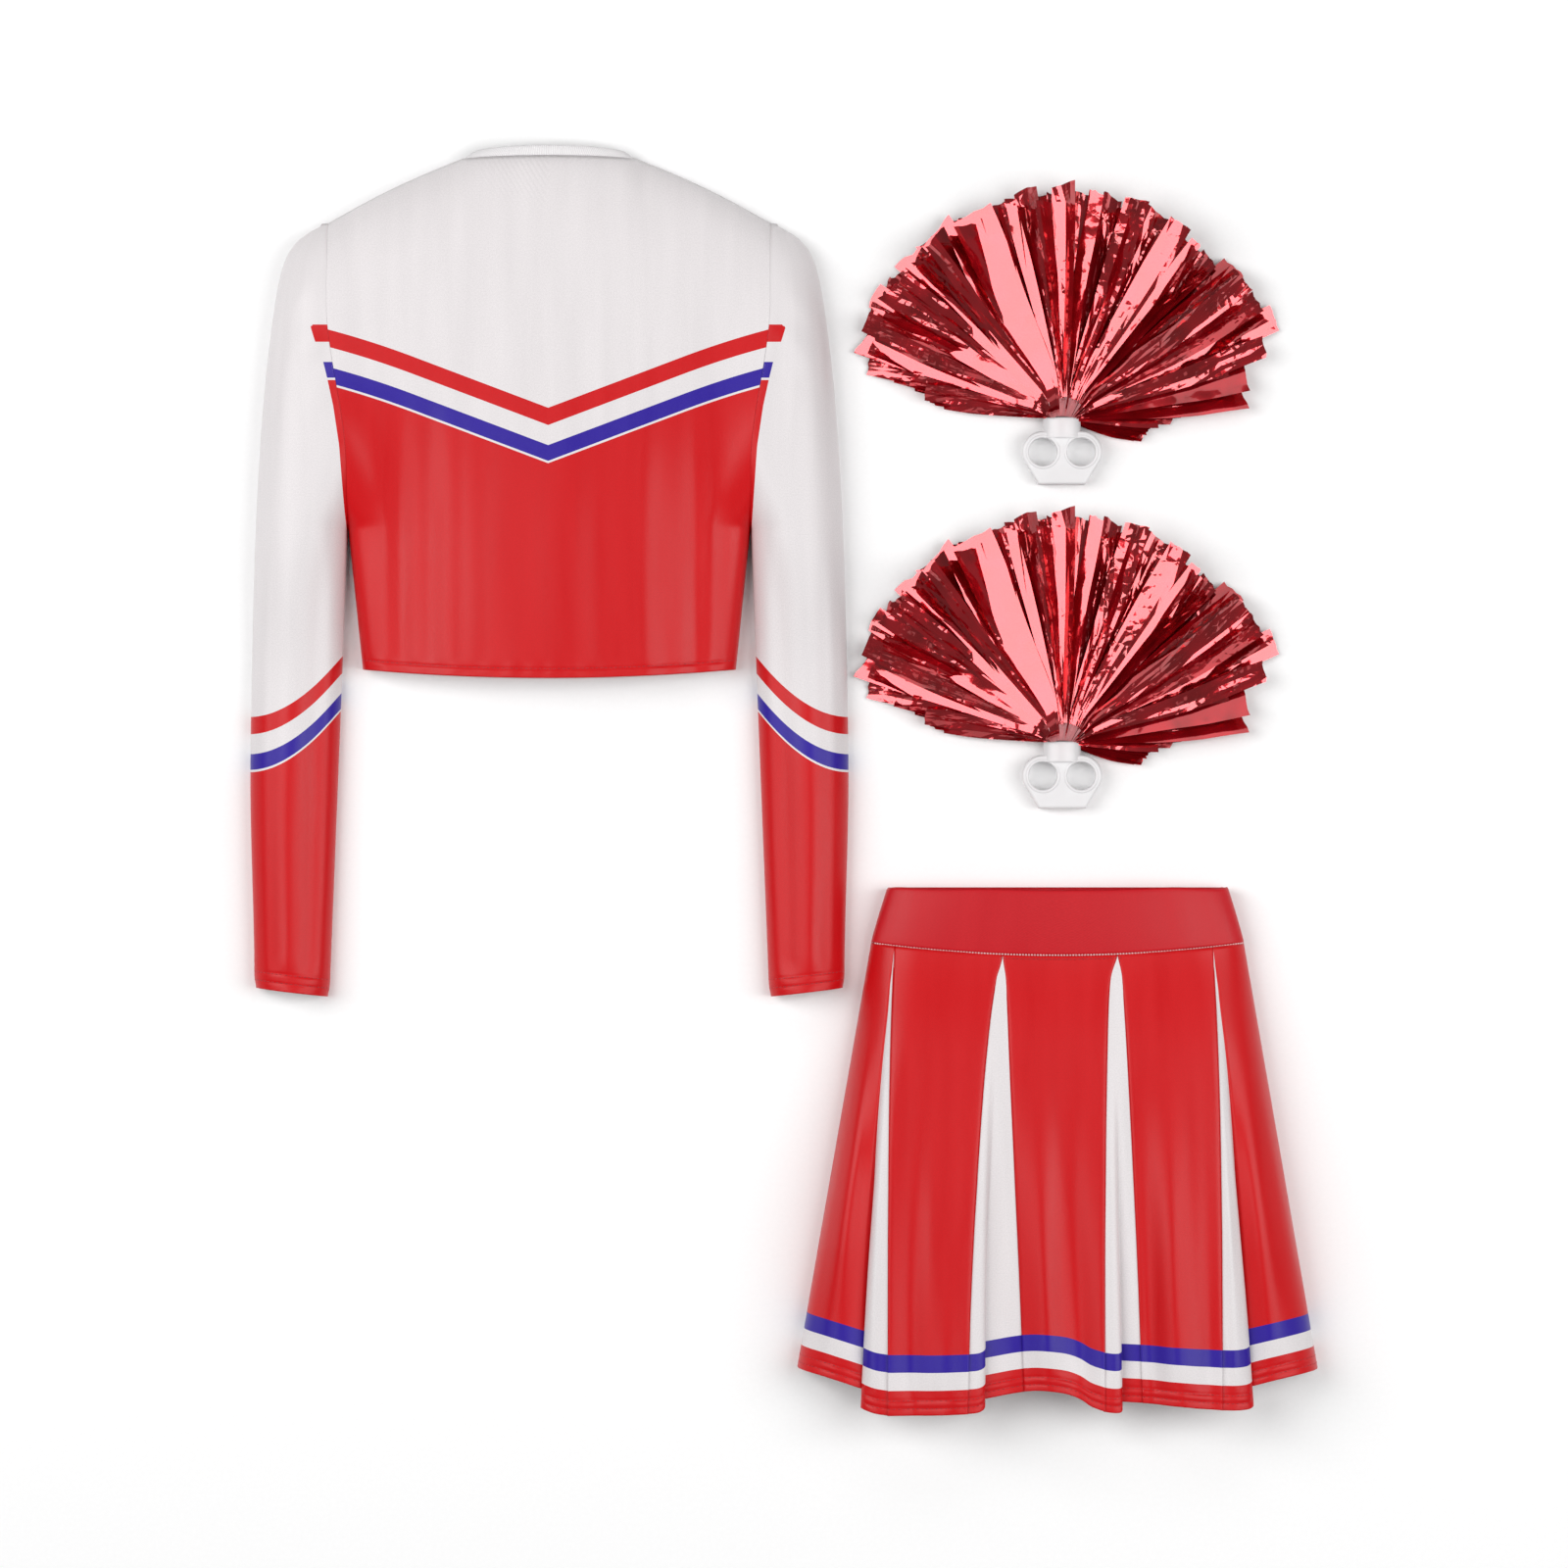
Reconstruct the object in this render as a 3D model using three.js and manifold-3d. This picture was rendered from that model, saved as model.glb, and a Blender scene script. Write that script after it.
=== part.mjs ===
// A cheer uniform laid out flat on a surface: a long-sleeved crop top with its back up, a pleated
// skirt with its front up, and two pompoms. Millimetres, +X to the right, +Y towards the neck,
// +Z up off the surface, which is the plane Z = 0.
import * as THREE from "three";
import { mergeVertices } from "three/addons/utils/BufferGeometryUtils.js";
import Module from "manifold-3d";

const wasm = await Module();
wasm.setup();

// ---------------------------------------------------------------- driving dimensions
const GAP = 0.3; // between two pieces that touch
const FABRIC = 2.0; // thickness of a garment panel with its seam allowance

// Crop top. Widths are half widths from the centre line, and Y = 0 is the middle of the hem.
const SHOULDER_NECK_Y = 392.5; // hem to the corner of the neck
const NECK_HALF = 58.8;
const NECK_RISE = 6; // the back neckline's rise above its corners
const NECK_DROP = 55; // the front neckline's fall below them
const NECK_BAND = 7.4; // width of the ribbed band
const NECK_BAND_SIDE = 4; // its width where it crosses the shoulders
const SHOULDER_HALF = 165.4; // centre line to the top of the armhole
const SHOULDER_DROP = 54.4;
const ARMHOLE_DEPTH = 226.4;
const CHEST_HALF = 150.7; // at the underarm
const HEM_HALF = 139.7;
const HEM_SAG = 6.6; // the hem's middle hangs lower than its sides
const SLEEVE_LENGTH = 569.6; // shoulder point to cuff, along the outer edge
const SLEEVE_CAP = 29; // how far the sleeve head stands out past the shoulder point
const SLEEVE_SWELL = 31; // further width gained down the arm
const CUFF_SHIFT = 13.9; // how far the inner edge drifts outwards from underarm to cuff
const CUFF_TAPER = 4; // how far the outer edge draws in at the cuff
const CUFF_SLANT = 6.6; // the cuff's inner corner hangs lower
const ELBOW_DROP = 300; // shoulder point to the elbow, where the sleeve folds
const TORSO_HEIGHT = 44; // thickness of the top as it lies
const SLEEVE_HEIGHT = 31;
const NECK_HEIGHT = 26; // how far the back neckline stands above the surface
const TOP_SEAM_Z = 9; // height of the side folds, where the back and front panels meet

// Skirt. Y = 0 is the waistband's top edge.
const WAIST_HALF = 127.5;
const WAISTBAND_DEPTH = 41; // at the sides
const WAISTBAND_SAG = 9; // extra depth in the middle
const SEAM_HALF = 139.5; // half width at the seam below the waistband
const SKIRT_HALF = 194.8; // half width at the hem
const SKIRT_SIDE_LENGTH = 317.7; // waist seam to hem, at the side
const SKIRT_SAG = 33; // the hem's middle hangs lower than its sides
const WAIST_HEIGHT = 36;
const HIP_HEIGHT = 44;
const HEM_HEIGHT = 62;
const SKIRT_SEAM_Z = 11;
const PLEAT_DIP = 15; // how deep the pleats sink at the hem
const GODET_LAP = 11; // how far a white godet runs under each red gore at the hem
const ELASTIC = 2.4; // thickness of the waist elastic
const FACING = 1.6; // thickness of the waistband's two fabric layers
const LAYER_GAP = 0.5; // between the waistband's layers, which bend round its sides

// Each godet: the seam's place at the waist and at the hem as a share of the half width, how far
// down the panel its point lies, and its visible half width at the hem.
const FRONT_GODETS = [
  { waist: -0.86, hem: -0.7, apex: 0.08, half: 9 },
  { waist: -0.29, hem: -0.231, apex: 0.03, half: 19.5 },
  { waist: 0.35, hem: 0.266, apex: 0.03, half: 13.6 },
  { waist: 0.86, hem: 0.7, apex: 0.08, half: 9 },
];
const BACK_GODETS = [
  { waist: -0.72, hem: -0.66, apex: 0.08, half: 12 },
  { waist: -0.3, hem: -0.25, apex: 0.03, half: 15 },
  { waist: 0.3, hem: 0.25, apex: 0.03, half: 15 },
  { waist: 0.72, hem: 0.66, apex: 0.08, half: 12 },
];

// Pompom. Y = 0 is the mouth of the handle's collar.
const FINGER_HOLE_R = 10.6;
const FINGER_PITCH = 28.7; // between the two holes' centres
const LOBE_R = 15.6; // outer radius of the handle round each hole
const HOLE_Y = -26; // the holes' centres below the collar's mouth
const HANDLE_FOOT_HALF = 19; // half width of the handle's lower edge
const HANDLE_FOOT_Y = -50.5;
const HANDLE_THICK = 16;
const COLLAR_HALF = 14;
const COLLAR_LENGTH = 14;
const COLLAR_HEIGHT = 20;
const COLLAR_WALL = 2;
const SOCKET_DEPTH = 10;
const SPLAY_R = 17; // where the bundles have fanned out from the collar
const TUFT_HEIGHT = 66;
const TUFT_TIP_HEIGHT = 26;

// Each bundle of streamers in a pompom's fan: the direction of its two sides in degrees from +X,
// and the reach of its tip.
const BUNDLES = [
  { name: "far_left", from: 166, to: 153, reach: 159 },
  { name: "left", from: 152, to: 131, reach: 170 },
  { name: "upper_left", from: 130, to: 109, reach: 172 },
  { name: "top", from: 108, to: 84, reach: 171 },
  { name: "upper_right", from: 83, to: 57, reach: 169 },
  { name: "right", from: 56, to: 31, reach: 172 },
  { name: "far_right", from: 30, to: 4, reach: 158 },
];

// The layout: clear distances between the four articles, which lie side by side.
const TOP_TO_POMPOM = 5.5; // between the right sleeve and the fans' left tips
const CUFF_TO_SKIRT = 11;
const NECK_TO_FAN = 31; // how far below the neckline the first fan's tip lies
const POMPOM_TO_POMPOM = 20;
const POMPOM_TO_SKIRT = 59;

// ---------------------------------------------------------------- materials
const paint = (color, roughness, metalness = 0) =>
  new THREE.MeshStandardMaterial({ color, roughness, metalness, side: THREE.DoubleSide });
const RED_KNIT = () => paint("#d22329", 0.6);
const WHITE_KNIT = () => paint("#e8e6e7", 0.65);
const ELASTIC_WHITE = () => paint("#f0eeee", 0.8);
const WHITE_PLASTIC = () => paint("#f2f0f1", 0.35);
const RED_FOIL = () => paint("#b8141f", 0.2, 0.9);

// ---------------------------------------------------------------- shared shapes
const mix = (a, b, t) => a + (b - a) * t;
const clamp = (x) => Math.min(1, Math.max(0, x));
const smooth = (x) => clamp(x) ** 2 * (3 - 2 * clamp(x));
// The height of a rolled fold, from 0 at its edge to 1 at one radius in.
const rolled = (distance, radius) => Math.sqrt(1 - (1 - clamp(distance / radius)) ** 2);
const steps = (n, from = 0, to = 1) =>
  Array.from({ length: n + 1 }, (_, i) => mix(from, to, i / n));

function mesh(name, geometry, material) {
  const made = new THREE.Mesh(geometry, material);
  made.name = name;
  return made;
}

function geometryOf(points, faces) {
  const g = new THREE.BufferGeometry();
  g.setAttribute("position", new THREE.Float32BufferAttribute(points.flat(), 3));
  g.setIndex(faces.flat());
  return mergeVertices(g, 1e-4);
}

// A panel of even thickness. Each row is a list of [x, y, z] on the panel's inner face, and the
// outer face lies one thickness away along the row's normal in XZ. ends(j) gives the normals at a
// row's two ends, or null for the row's own. Rows whose two ends meet make a tube.
function panel(rows, thickness, ends) {
  const n = rows[0].length;
  const outer = rows.map((row, j) => {
    const given = ends(j);
    return row.map(([x, y, z], i) => {
      const a = row[Math.max(0, i - 1)];
      const b = row[Math.min(n - 1, i + 1)];
      const length = Math.hypot(b[0] - a[0], b[2] - a[2]) || 1;
      let normal = [-(b[2] - a[2]) / length, (b[0] - a[0]) / length];
      if (given && i === 0) normal = given[0];
      if (given && i === n - 1) normal = given[1];
      return [x + normal[0] * thickness, y, z + normal[1] * thickness];
    });
  });
  const closed = rows.map(
    (row, j) =>
      Math.hypot(...row[0].map((c, k) => c - row[n - 1][k])) < 1e-6 &&
      Math.hypot(...outer[j][0].map((c, k) => c - outer[j][n - 1][k])) < 1e-6,
  );
  const points = [...outer.flat(), ...rows.flat()];
  const inner = outer.length * n;
  const at = (j, i) => j * n + i;
  const faces = [];
  const quad = (a, b, c, d) => faces.push([a, b, c], [a, c, d]);
  for (let j = 0; j + 1 < rows.length; j++) {
    for (let i = 0; i + 1 < n; i++) {
      quad(at(j, i), at(j, i + 1), at(j + 1, i + 1), at(j + 1, i));
      quad(
        inner + at(j, i), inner + at(j + 1, i),
        inner + at(j + 1, i + 1), inner + at(j, i + 1),
      );
    }
    if (closed[j] && closed[j + 1]) continue;
    quad(at(j, 0), at(j + 1, 0), inner + at(j + 1, 0), inner + at(j, 0));
    quad(at(j, n - 1), inner + at(j, n - 1), inner + at(j + 1, n - 1), at(j + 1, n - 1));
  }
  const last = rows.length - 1;
  for (let i = 0; i + 1 < n; i++) {
    quad(at(0, i), inner + at(0, i), inner + at(0, i + 1), at(0, i + 1));
    quad(at(last, i), at(last, i + 1), inner + at(last, i + 1), inner + at(last, i));
  }
  return outwards(geometryOf(points, faces));
}

// A solid through a list of rings of [x, y, z], capped flat at both ends, or joined end to end.
function loft(rings, joined = false) {
  const n = rings[0].length;
  const points = rings.flat();
  const faces = [];
  const count = joined ? rings.length : rings.length - 1;
  for (let j = 0; j < count; j++) {
    const next = (j + 1) % rings.length;
    for (let i = 0; i < n; i++) {
      const k = (i + 1) % n;
      faces.push([j * n + i, j * n + k, next * n + k], [j * n + i, next * n + k, next * n + i]);
    }
  }
  if (!joined)
    for (const [ring, turn] of [[0, 1], [rings.length - 1, -1]])
      for (let i = 1; i + 1 < n; i++) {
        const cap = [ring * n, ring * n + i + 1, ring * n + i];
        faces.push(turn > 0 ? cap : cap.reverse());
      }
  return outwards(geometryOf(points, faces));
}

// The same geometry with no collapsed triangles and its faces pointing out.
function outwards(geometry) {
  const p = geometry.attributes.position;
  const kept = [];
  let volume = 0;
  const v = [new THREE.Vector3(), new THREE.Vector3(), new THREE.Vector3()];
  for (let i = 0; i < geometry.index.count; i += 3) {
    const t = [0, 1, 2].map((k) => geometry.index.getX(i + k));
    if (t[0] === t[1] || t[1] === t[2] || t[0] === t[2]) continue;
    t.forEach((index, k) => v[k].fromBufferAttribute(p, index));
    volume += v[0].dot(v[1].clone().cross(v[2]));
    kept.push(t);
  }
  if (volume < 0) kept.forEach((t) => t.reverse());
  geometry.setIndex(kept.flat());
  return geometry;
}

function solid(geometry) {
  const g = geometry.clone();
  g.deleteAttribute("normal");
  g.deleteAttribute("uv");
  const merged = mergeVertices(g, 1e-4);
  const vertProperties = merged.attributes.position.array;
  const triVerts = new Uint32Array(merged.index.array);
  return new wasm.Manifold(new wasm.Mesh({ numProp: 3, vertProperties, triVerts }));
}

function fromSolid(body) {
  const made = body.getMesh();
  const g = new THREE.BufferGeometry();
  g.setAttribute("position", new THREE.BufferAttribute(made.vertProperties, 3));
  g.setIndex(new THREE.BufferAttribute(made.triVerts, 1));
  return g;
}

// ---------------------------------------------------------------- crop top
const SHOULDER_Y = SHOULDER_NECK_Y - SHOULDER_DROP;
const UNDERARM_Y = SHOULDER_Y - ARMHOLE_DEPTH;
const ELBOW_Y = SHOULDER_Y - ELBOW_DROP;
const CUFF_Y = SHOULDER_Y - SLEEVE_LENGTH;
const YOKE_HALF = NECK_HALF + NECK_BAND; // where the neck band ends on the shoulder
const NECK_SEAM_Y = SHOULDER_NECK_Y - NECK_BAND_SIDE - GAP; // the body panels' neck corners
const FOLD_R = 34; // radius of the soft folds at the sides and down the sleeves
const SHOULDER_R = 70; // over which the shoulders rise to full thickness
const FLOOR_R = 14; // radius of the underside's folds

const armholeX = (y) =>
  mix(SHOULDER_HALF, CHEST_HALF, smooth(((SHOULDER_Y - y) / ARMHOLE_DEPTH - 0.25) / 0.55));
const sideX = (y) => mix(CHEST_HALF, HEM_HALF, clamp((UNDERARM_Y - y) / (UNDERARM_Y - HEM_SAG)));
const bodyX = (y) => (y > UNDERARM_Y ? armholeX(y) : sideX(y));
const hemY = (x) => HEM_SAG * (x / HEM_HALF) ** 2;
const sleeveInX = (y) =>
  y > UNDERARM_Y
    ? armholeX(y)
    : CHEST_HALF + (CUFF_SHIFT * (UNDERARM_Y - y)) / (SLEEVE_LENGTH - ARMHOLE_DEPTH);
const sleeveOutX = (y) => {
  const down = Math.max(0, SHOULDER_Y - y);
  const cap = SLEEVE_CAP * (1 - Math.exp(-down / 9));
  const swell = SLEEVE_SWELL * (1 - Math.exp(-down / 130));
  return SHOULDER_HALF + cap + swell - CUFF_TAPER * smooth((down / SLEEVE_LENGTH - 0.7) / 0.3);
};
const underarmRise = (y) => 0.8 * Math.max(0, y - UNDERARM_Y);
// How full the top is, from 0 at a fold to 1, at the shares of its height that one point has.
const topFill = (x, y, below, start, radius) => {
  const shoulder = start + (1 - start) * rolled(below, radius === FOLD_R ? SHOULDER_R : radius);
  const armhole = y > UNDERARM_Y;
  const edge = armhole ? sleeveOutX(y) - x : bodyX(y) - x;
  const seam = Math.abs(bodyX(y) - x) + underarmRise(y);
  return shoulder * rolled(edge, radius) * (armhole ? rolled(seam, radius) : 1);
};

// The directions round the neck at which its band and the panels beside it have their corners.
const NECK_STEP = Math.PI / 10;
const neckTurns = (to) => steps(Math.round(to / NECK_STEP), 0, to);

const ARMHOLE_ROWS = 6;
const armholeYs = steps(ARMHOLE_ROWS, UNDERARM_Y, SHOULDER_Y);

// One body panel, back (side = 1, lying on top) or front (side = -1, lying underneath).
function bodyPanel(side) {
  const radius = side > 0 ? FOLD_R : FLOOR_R;
  const reach = (side > 0 ? TORSO_HEIGHT - TOP_SEAM_Z : TOP_SEAM_Z) - FABRIC - GAP / 2;
  const neckFill = side > 0 ? (NECK_HEIGHT - TOP_SEAM_Z) / (TORSO_HEIGHT - TOP_SEAM_Z) : 1;
  const neckDip = (side > 0 ? NECK_RISE : -NECK_DROP) - NECK_BAND + NECK_BAND_SIDE;
  const shoulderShare = YOKE_HALF / SHOULDER_HALF;
  const across = [
    ...neckTurns(Math.PI / 2).map((a) => shoulderShare * Math.sin(a)).slice(0, -1),
    ...steps(7, shoulderShare, 1),
  ];
  const shares = [...across.slice(1).reverse().map((s) => -s), ...across];
  const topY = (s) => {
    const x = Math.abs(s) * SHOULDER_HALF;
    if (x >= YOKE_HALF)
      return mix(NECK_SEAM_Y, SHOULDER_Y, (x - YOKE_HALF) / (SHOULDER_HALF - YOKE_HALF));
    return NECK_SEAM_Y + neckDip * Math.sqrt(1 - (x / YOKE_HALF) ** 2);
  };
  const sideYs = [...steps(3, HEM_SAG, UNDERARM_Y).slice(0, 3), ...armholeYs];
  const rows = sideYs.map((sideY) => {
    const share = (sideY - HEM_SAG) / (SHOULDER_Y - HEM_SAG);
    const armhole = sideY > UNDERARM_Y;
    const half = bodyX(sideY) - (armhole ? GAP / 2 : FABRIC + GAP / 2);
    return shares.map((s) => {
      const x = Math.abs(s) * half;
      const bottom = hemY(x);
      const top = topY(s);
      const y = mix(bottom, top, share);
      const across01 = Math.min(1, (Math.abs(s) * SHOULDER_HALF) / YOKE_HALF);
      const start = neckFill * Math.sqrt(1 - across01 ** 2);
      const yAcross = mix(y, sideY, Math.abs(s) ** 2);
      const atSide = topFill(x + bodyX(sideY) - half, yAcross, top - y, start, radius);
      const z = TOP_SEAM_Z + side * (GAP / 2 + reach * atSide);
      return [side * s * half, y, z];
    });
  });
  return panel(rows, FABRIC, (j) => {
    if (sideYs[j] > UNDERARM_Y) return [[0, side], [0, side]];
    return side > 0 ? [[-1, 0], [1, 0]] : [[1, 0], [-1, 0]];
  });
}

// Part of a sleeve, left (side = -1) or right (side = 1), through its cross-sections at ys. Above
// the underarm a section is open towards the body; below, it is a flattened tube.
function sleeve(side, ys) {
  const shares = steps(7).map((t) => (1 - Math.cos(Math.PI * t)) / 2);
  const armhole = (y) => y > UNDERARM_Y + 1e-6;
  const rows = ys.map((y) => {
    const height = mix(TORSO_HEIGHT, SLEEVE_HEIGHT, smooth((UNDERARM_Y - y) / 120));
    const from = sleeveInX(y) + GAP / 2 + (armhole(y) ? 0 : FABRIC);
    const to = Math.max(sleeveOutX(y), SHOULDER_HALF + 2 * FABRIC + 1) - FABRIC;
    const slant = CUFF_SLANT * clamp((ELBOW_Y - y) / (ELBOW_Y - CUFF_Y));
    const layer = (up) => shares.map((s) => {
      const x = mix(from, to, s);
      const radius = up > 0 ? FOLD_R : FLOOR_R;
      const shoulder = rolled(SHOULDER_Y - y, up > 0 ? SHOULDER_R : radius);
      const seam = x - from + underarmRise(y);
      const fill = shoulder * rolled(to - x, radius) * rolled(seam, radius);
      const open = armhole(y) ? (GAP / 2) * (1 - s) : 0;
      const reach = (up > 0 ? height - TOP_SEAM_Z : TOP_SEAM_Z) - FABRIC - open;
      return [side * x, y - slant * (1 - s), TOP_SEAM_Z + up * (open + reach * fill)];
    });
    const section = [...layer(1), ...layer(-1).reverse().slice(1)];
    return side > 0 ? section : section.reverse();
  });
  return panel(rows, FABRIC, (j) => {
    if (!armhole(ys[j])) return [[-side, 0], [-side, 0]];
    return side > 0 ? [[0, 1], [0, -1]] : [[0, -1], [0, 1]];
  });
}
const upperSleeveYs = [
  ...armholeYs.slice().reverse(), ...steps(3, UNDERARM_Y, ELBOW_Y + GAP / 2).slice(1),
];
const lowerSleeveYs = steps(6, ELBOW_Y - GAP / 2, CUFF_Y);

// The band round the neck, a flattened ring: along the back neckline on top and the front
// neckline underneath. It runs from its open edge (t = 0) to the seam on the body panels (t = 1).
function neckBand() {
  const rows = [0, 1].map((t) => neckTurns(2 * Math.PI).map((a) => {
    const s = Math.sin(a);
    const back = s > 0;
    const half = mix(NECK_HALF, YOKE_HALF - GAP, t) - FABRIC;
    const edge = SHOULDER_NECK_Y + (back ? NECK_RISE : NECK_DROP) * s;
    const width = mix(NECK_BAND_SIDE, NECK_BAND, Math.abs(s));
    const z = back
      ? TOP_SEAM_Z + (NECK_HEIGHT - FABRIC - TOP_SEAM_Z) * s
      : TOP_SEAM_Z - (TOP_SEAM_Z - FABRIC) * Math.sqrt(Math.abs(s));
    return [half * Math.cos(a), edge - t * width, z];
  }).reverse());
  return panel(rows, FABRIC, () => [[1, 0], [1, 0]]);
}

const top = new THREE.Group();
top.add(
  mesh("back_body_panel", bodyPanel(1), RED_KNIT()),
  mesh("front_body_panel", bodyPanel(-1), RED_KNIT()),
  mesh("left_upper_sleeve", sleeve(-1, upperSleeveYs), WHITE_KNIT()),
  mesh("left_lower_sleeve", sleeve(-1, lowerSleeveYs), RED_KNIT()),
  mesh("right_upper_sleeve", sleeve(1, upperSleeveYs), WHITE_KNIT()),
  mesh("right_lower_sleeve", sleeve(1, lowerSleeveYs), RED_KNIT()),
  mesh("neck_band", neckBand(), WHITE_KNIT()),
);

// ---------------------------------------------------------------- skirt
const SKIRT_ROWS = [0, 0.03, 0.08, 0.27, 0.46, 0.65, 0.84, 1];
const SKIRT_FOLD_R = 40;
const SKIRT_FLOOR_R = 16;
const skirtHalf = (v) => mix(SEAM_HALF, SKIRT_HALF, v);
const waistSeamY = (f) => -WAISTBAND_DEPTH - WAISTBAND_SAG * (1 - f * f) - GAP;
const skirtY = (f, v) => waistSeamY(f) - v * (SKIRT_SIDE_LENGTH + (SKIRT_SAG - WAISTBAND_SAG) * (1 - f * f));
const skirtHeight = (v) => mix(mix(WAIST_HEIGHT, HIP_HEIGHT, smooth(v / 0.25)), HEM_HEIGHT, v);
const seamX = (godet, v) => mix(godet.waist, godet.hem, v) * skirtHalf(v);
const opened = (godet, v) => clamp((v - godet.apex) / (1 - godet.apex));
const godetHalf = (godet, v) => godet.half * opened(godet, v);
const godetReach = (godet, v) => godetHalf(godet, v) + 1 + (GODET_LAP - 1) * Math.sqrt(opened(godet, v));

// Height of a gore's inner face over x, on the layer on top (side = 1) or underneath (-1).
function skirtZ(x, v, side) {
  const godets = side > 0 ? FRONT_GODETS : BACK_GODETS;
  const inset = skirtHalf(v) - FABRIC - Math.abs(x);
  if (side < 0) {
    const fill = rolled(inset, SKIRT_FLOOR_R);
    return SKIRT_SEAM_Z - (SKIRT_SEAM_Z - FABRIC) * fill;
  }
  const fill = rolled(inset, SKIRT_FOLD_R);
  const dip = godets.reduce((sum, g) => {
    const away = Math.abs(x - seamX(g, v)) / (godetHalf(g, v) + 24);
    return sum + PLEAT_DIP * opened(g, v) * Math.exp(-(away ** 2) * 1.6);
  }, 0);
  return SKIRT_SEAM_Z + (skirtHeight(v) - FABRIC - SKIRT_SEAM_Z - dip) * fill;
}

// Where a gore's edge lies beside a godet: towards = 1 for the gore on its +X side.
const goreEdge = (godet, v, towards) => seamX(godet, v) + towards * (godetHalf(godet, v) + GAP / 2);

function goreRow(v, side, from, to) {
  const half = skirtHalf(v);
  const lap = Math.min(GODET_LAP, (to - from) / 4);
  const xs = [
    from, from + lap / 2, from + lap, mix(from + lap, to - lap, 0.33),
    mix(from + lap, to - lap, 0.67), to - lap, to - lap / 2, to,
  ];
  return xs.map((x) => [x, skirtY(x / half, v), skirtZ(x, v, side)]);
}

// A red gore between two godets of one layer.
function gore(left, right, side) {
  const rows = SKIRT_ROWS.map((v) => goreRow(v, side, goreEdge(left, v, 1), goreEdge(right, v, -1)));
  if (side < 0) rows.forEach((row) => row.reverse());
  return panel(rows, FABRIC, () => [[0, side], [0, side]]);
}

// A side gore: from the outermost godet on top, round the side fold, to the one underneath.
function sideGore(front, back, hand) {
  const rows = SKIRT_ROWS.map((v) => {
    const half = skirtHalf(v) - FABRIC;
    const layer = (godet, side) => {
      const from = Math.abs(goreEdge(godet, v, hand));
      const lap = Math.min(GODET_LAP, (half - from) / 3);
      const xs = [from, from + lap / 2, from + lap];
      const rest = steps(5).slice(1).map((t) => mix(from + lap, half, Math.sin((t * Math.PI) / 2)));
      return [...xs, ...rest].map((x) => [
        hand * x, skirtY(x / skirtHalf(v), v), skirtZ(hand * x, v, side),
      ]);
    };
    const row = [...layer(front, 1), ...layer(back, -1).reverse().slice(1)];
    return hand > 0 ? row : row.reverse();
  });
  return panel(rows, FABRIC, () => (hand > 0 ? [[0, 1], [0, -1]] : [[0, -1], [0, 1]]));
}

// A white godet: a wedge set in between two gores, lying inside the skirt behind their edges.
function godetPanel(godet, side) {
  const vs = SKIRT_ROWS.filter((v) => v >= godet.apex);
  const rows = vs.map((v) => {
    const reach = godetReach(godet, v);
    const shown = Math.max(godetHalf(godet, v), reach / 2);
    const edges = [shown / 2, shown, (shown + reach) / 2, reach];
    const xs = [...edges.map((x) => -x).reverse(), 0, ...edges];
    const middle = seamX(godet, v);
    const row = xs.map((dx) => {
      const x = middle + dx;
      const sunk = 5 * opened(godet, v) * (1 - (dx / reach) ** 2);
      const depth = FABRIC + 2 * GAP + sunk;
      return [x, skirtY(x / skirtHalf(v), v), skirtZ(x, v, side) - side * depth];
    });
    return side > 0 ? row : row.reverse();
  });
  return panel(rows, FABRIC, () => [[0, side], [0, side]]);
}

// One closed layer of the waistband, from its outer face inwards.
function waistLayer(inset, thickness, shorten) {
  const turns = steps(32, 0, 2 * Math.PI);
  const power = (value, exponent) => Math.sign(value) * Math.abs(value) ** exponent;
  const rows = [0, 0.5, 1].map((t) => {
    const half = mix(WAIST_HALF, SEAM_HALF, t);
    return turns.map((a) => {
      const c = power(Math.cos(a), 0.75);
      const s = power(Math.sin(a), 0.6);
      const up = s > 0 ? WAIST_HEIGHT - SKIRT_SEAM_Z : SKIRT_SEAM_Z;
      const normal = new THREE.Vector2(power(c, 5 / 3) / half, power(s, 7 / 3) / up).normalize();
      const low = t * (WAISTBAND_DEPTH + WAISTBAND_SAG * (1 - c * c) - 2 * shorten);
      const in_ = inset + thickness;
      return [
        half * c - in_ * normal.x, -shorten - low, SKIRT_SEAM_Z + s * up - in_ * normal.y,
      ];
    });
  });
  return panel(rows.map((row) => row.reverse()), thickness, () => [[1, 0], [1, 0]]);
}

const skirt = new THREE.Group();
const ELASTIC_INSET = FACING + LAYER_GAP;
const LINING_INSET = ELASTIC_INSET + ELASTIC + LAYER_GAP;
skirt.add(
  mesh("waistband_outer", waistLayer(0, FACING, 0), RED_KNIT()),
  mesh("waistband_elastic", waistLayer(ELASTIC_INSET, ELASTIC, 1), ELASTIC_WHITE()),
  mesh("waistband_lining", waistLayer(LINING_INSET, FACING, 0), RED_KNIT()),
);
const GORE_NAMES = ["left_of_centre", "centre", "right_of_centre"];
const GODET_NAMES = ["far_left", "left", "right", "far_right"];
for (const [layer, godets, side] of [["front", FRONT_GODETS, 1], ["back", BACK_GODETS, -1]]) {
  GORE_NAMES.forEach((name, i) =>
    skirt.add(mesh(`${layer}_gore_${name}`, gore(godets[i], godets[i + 1], side), RED_KNIT())));
  GODET_NAMES.forEach((name, i) =>
    skirt.add(mesh(`${layer}_godet_${name}`, godetPanel(godets[i], side), WHITE_KNIT())));
}
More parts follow.
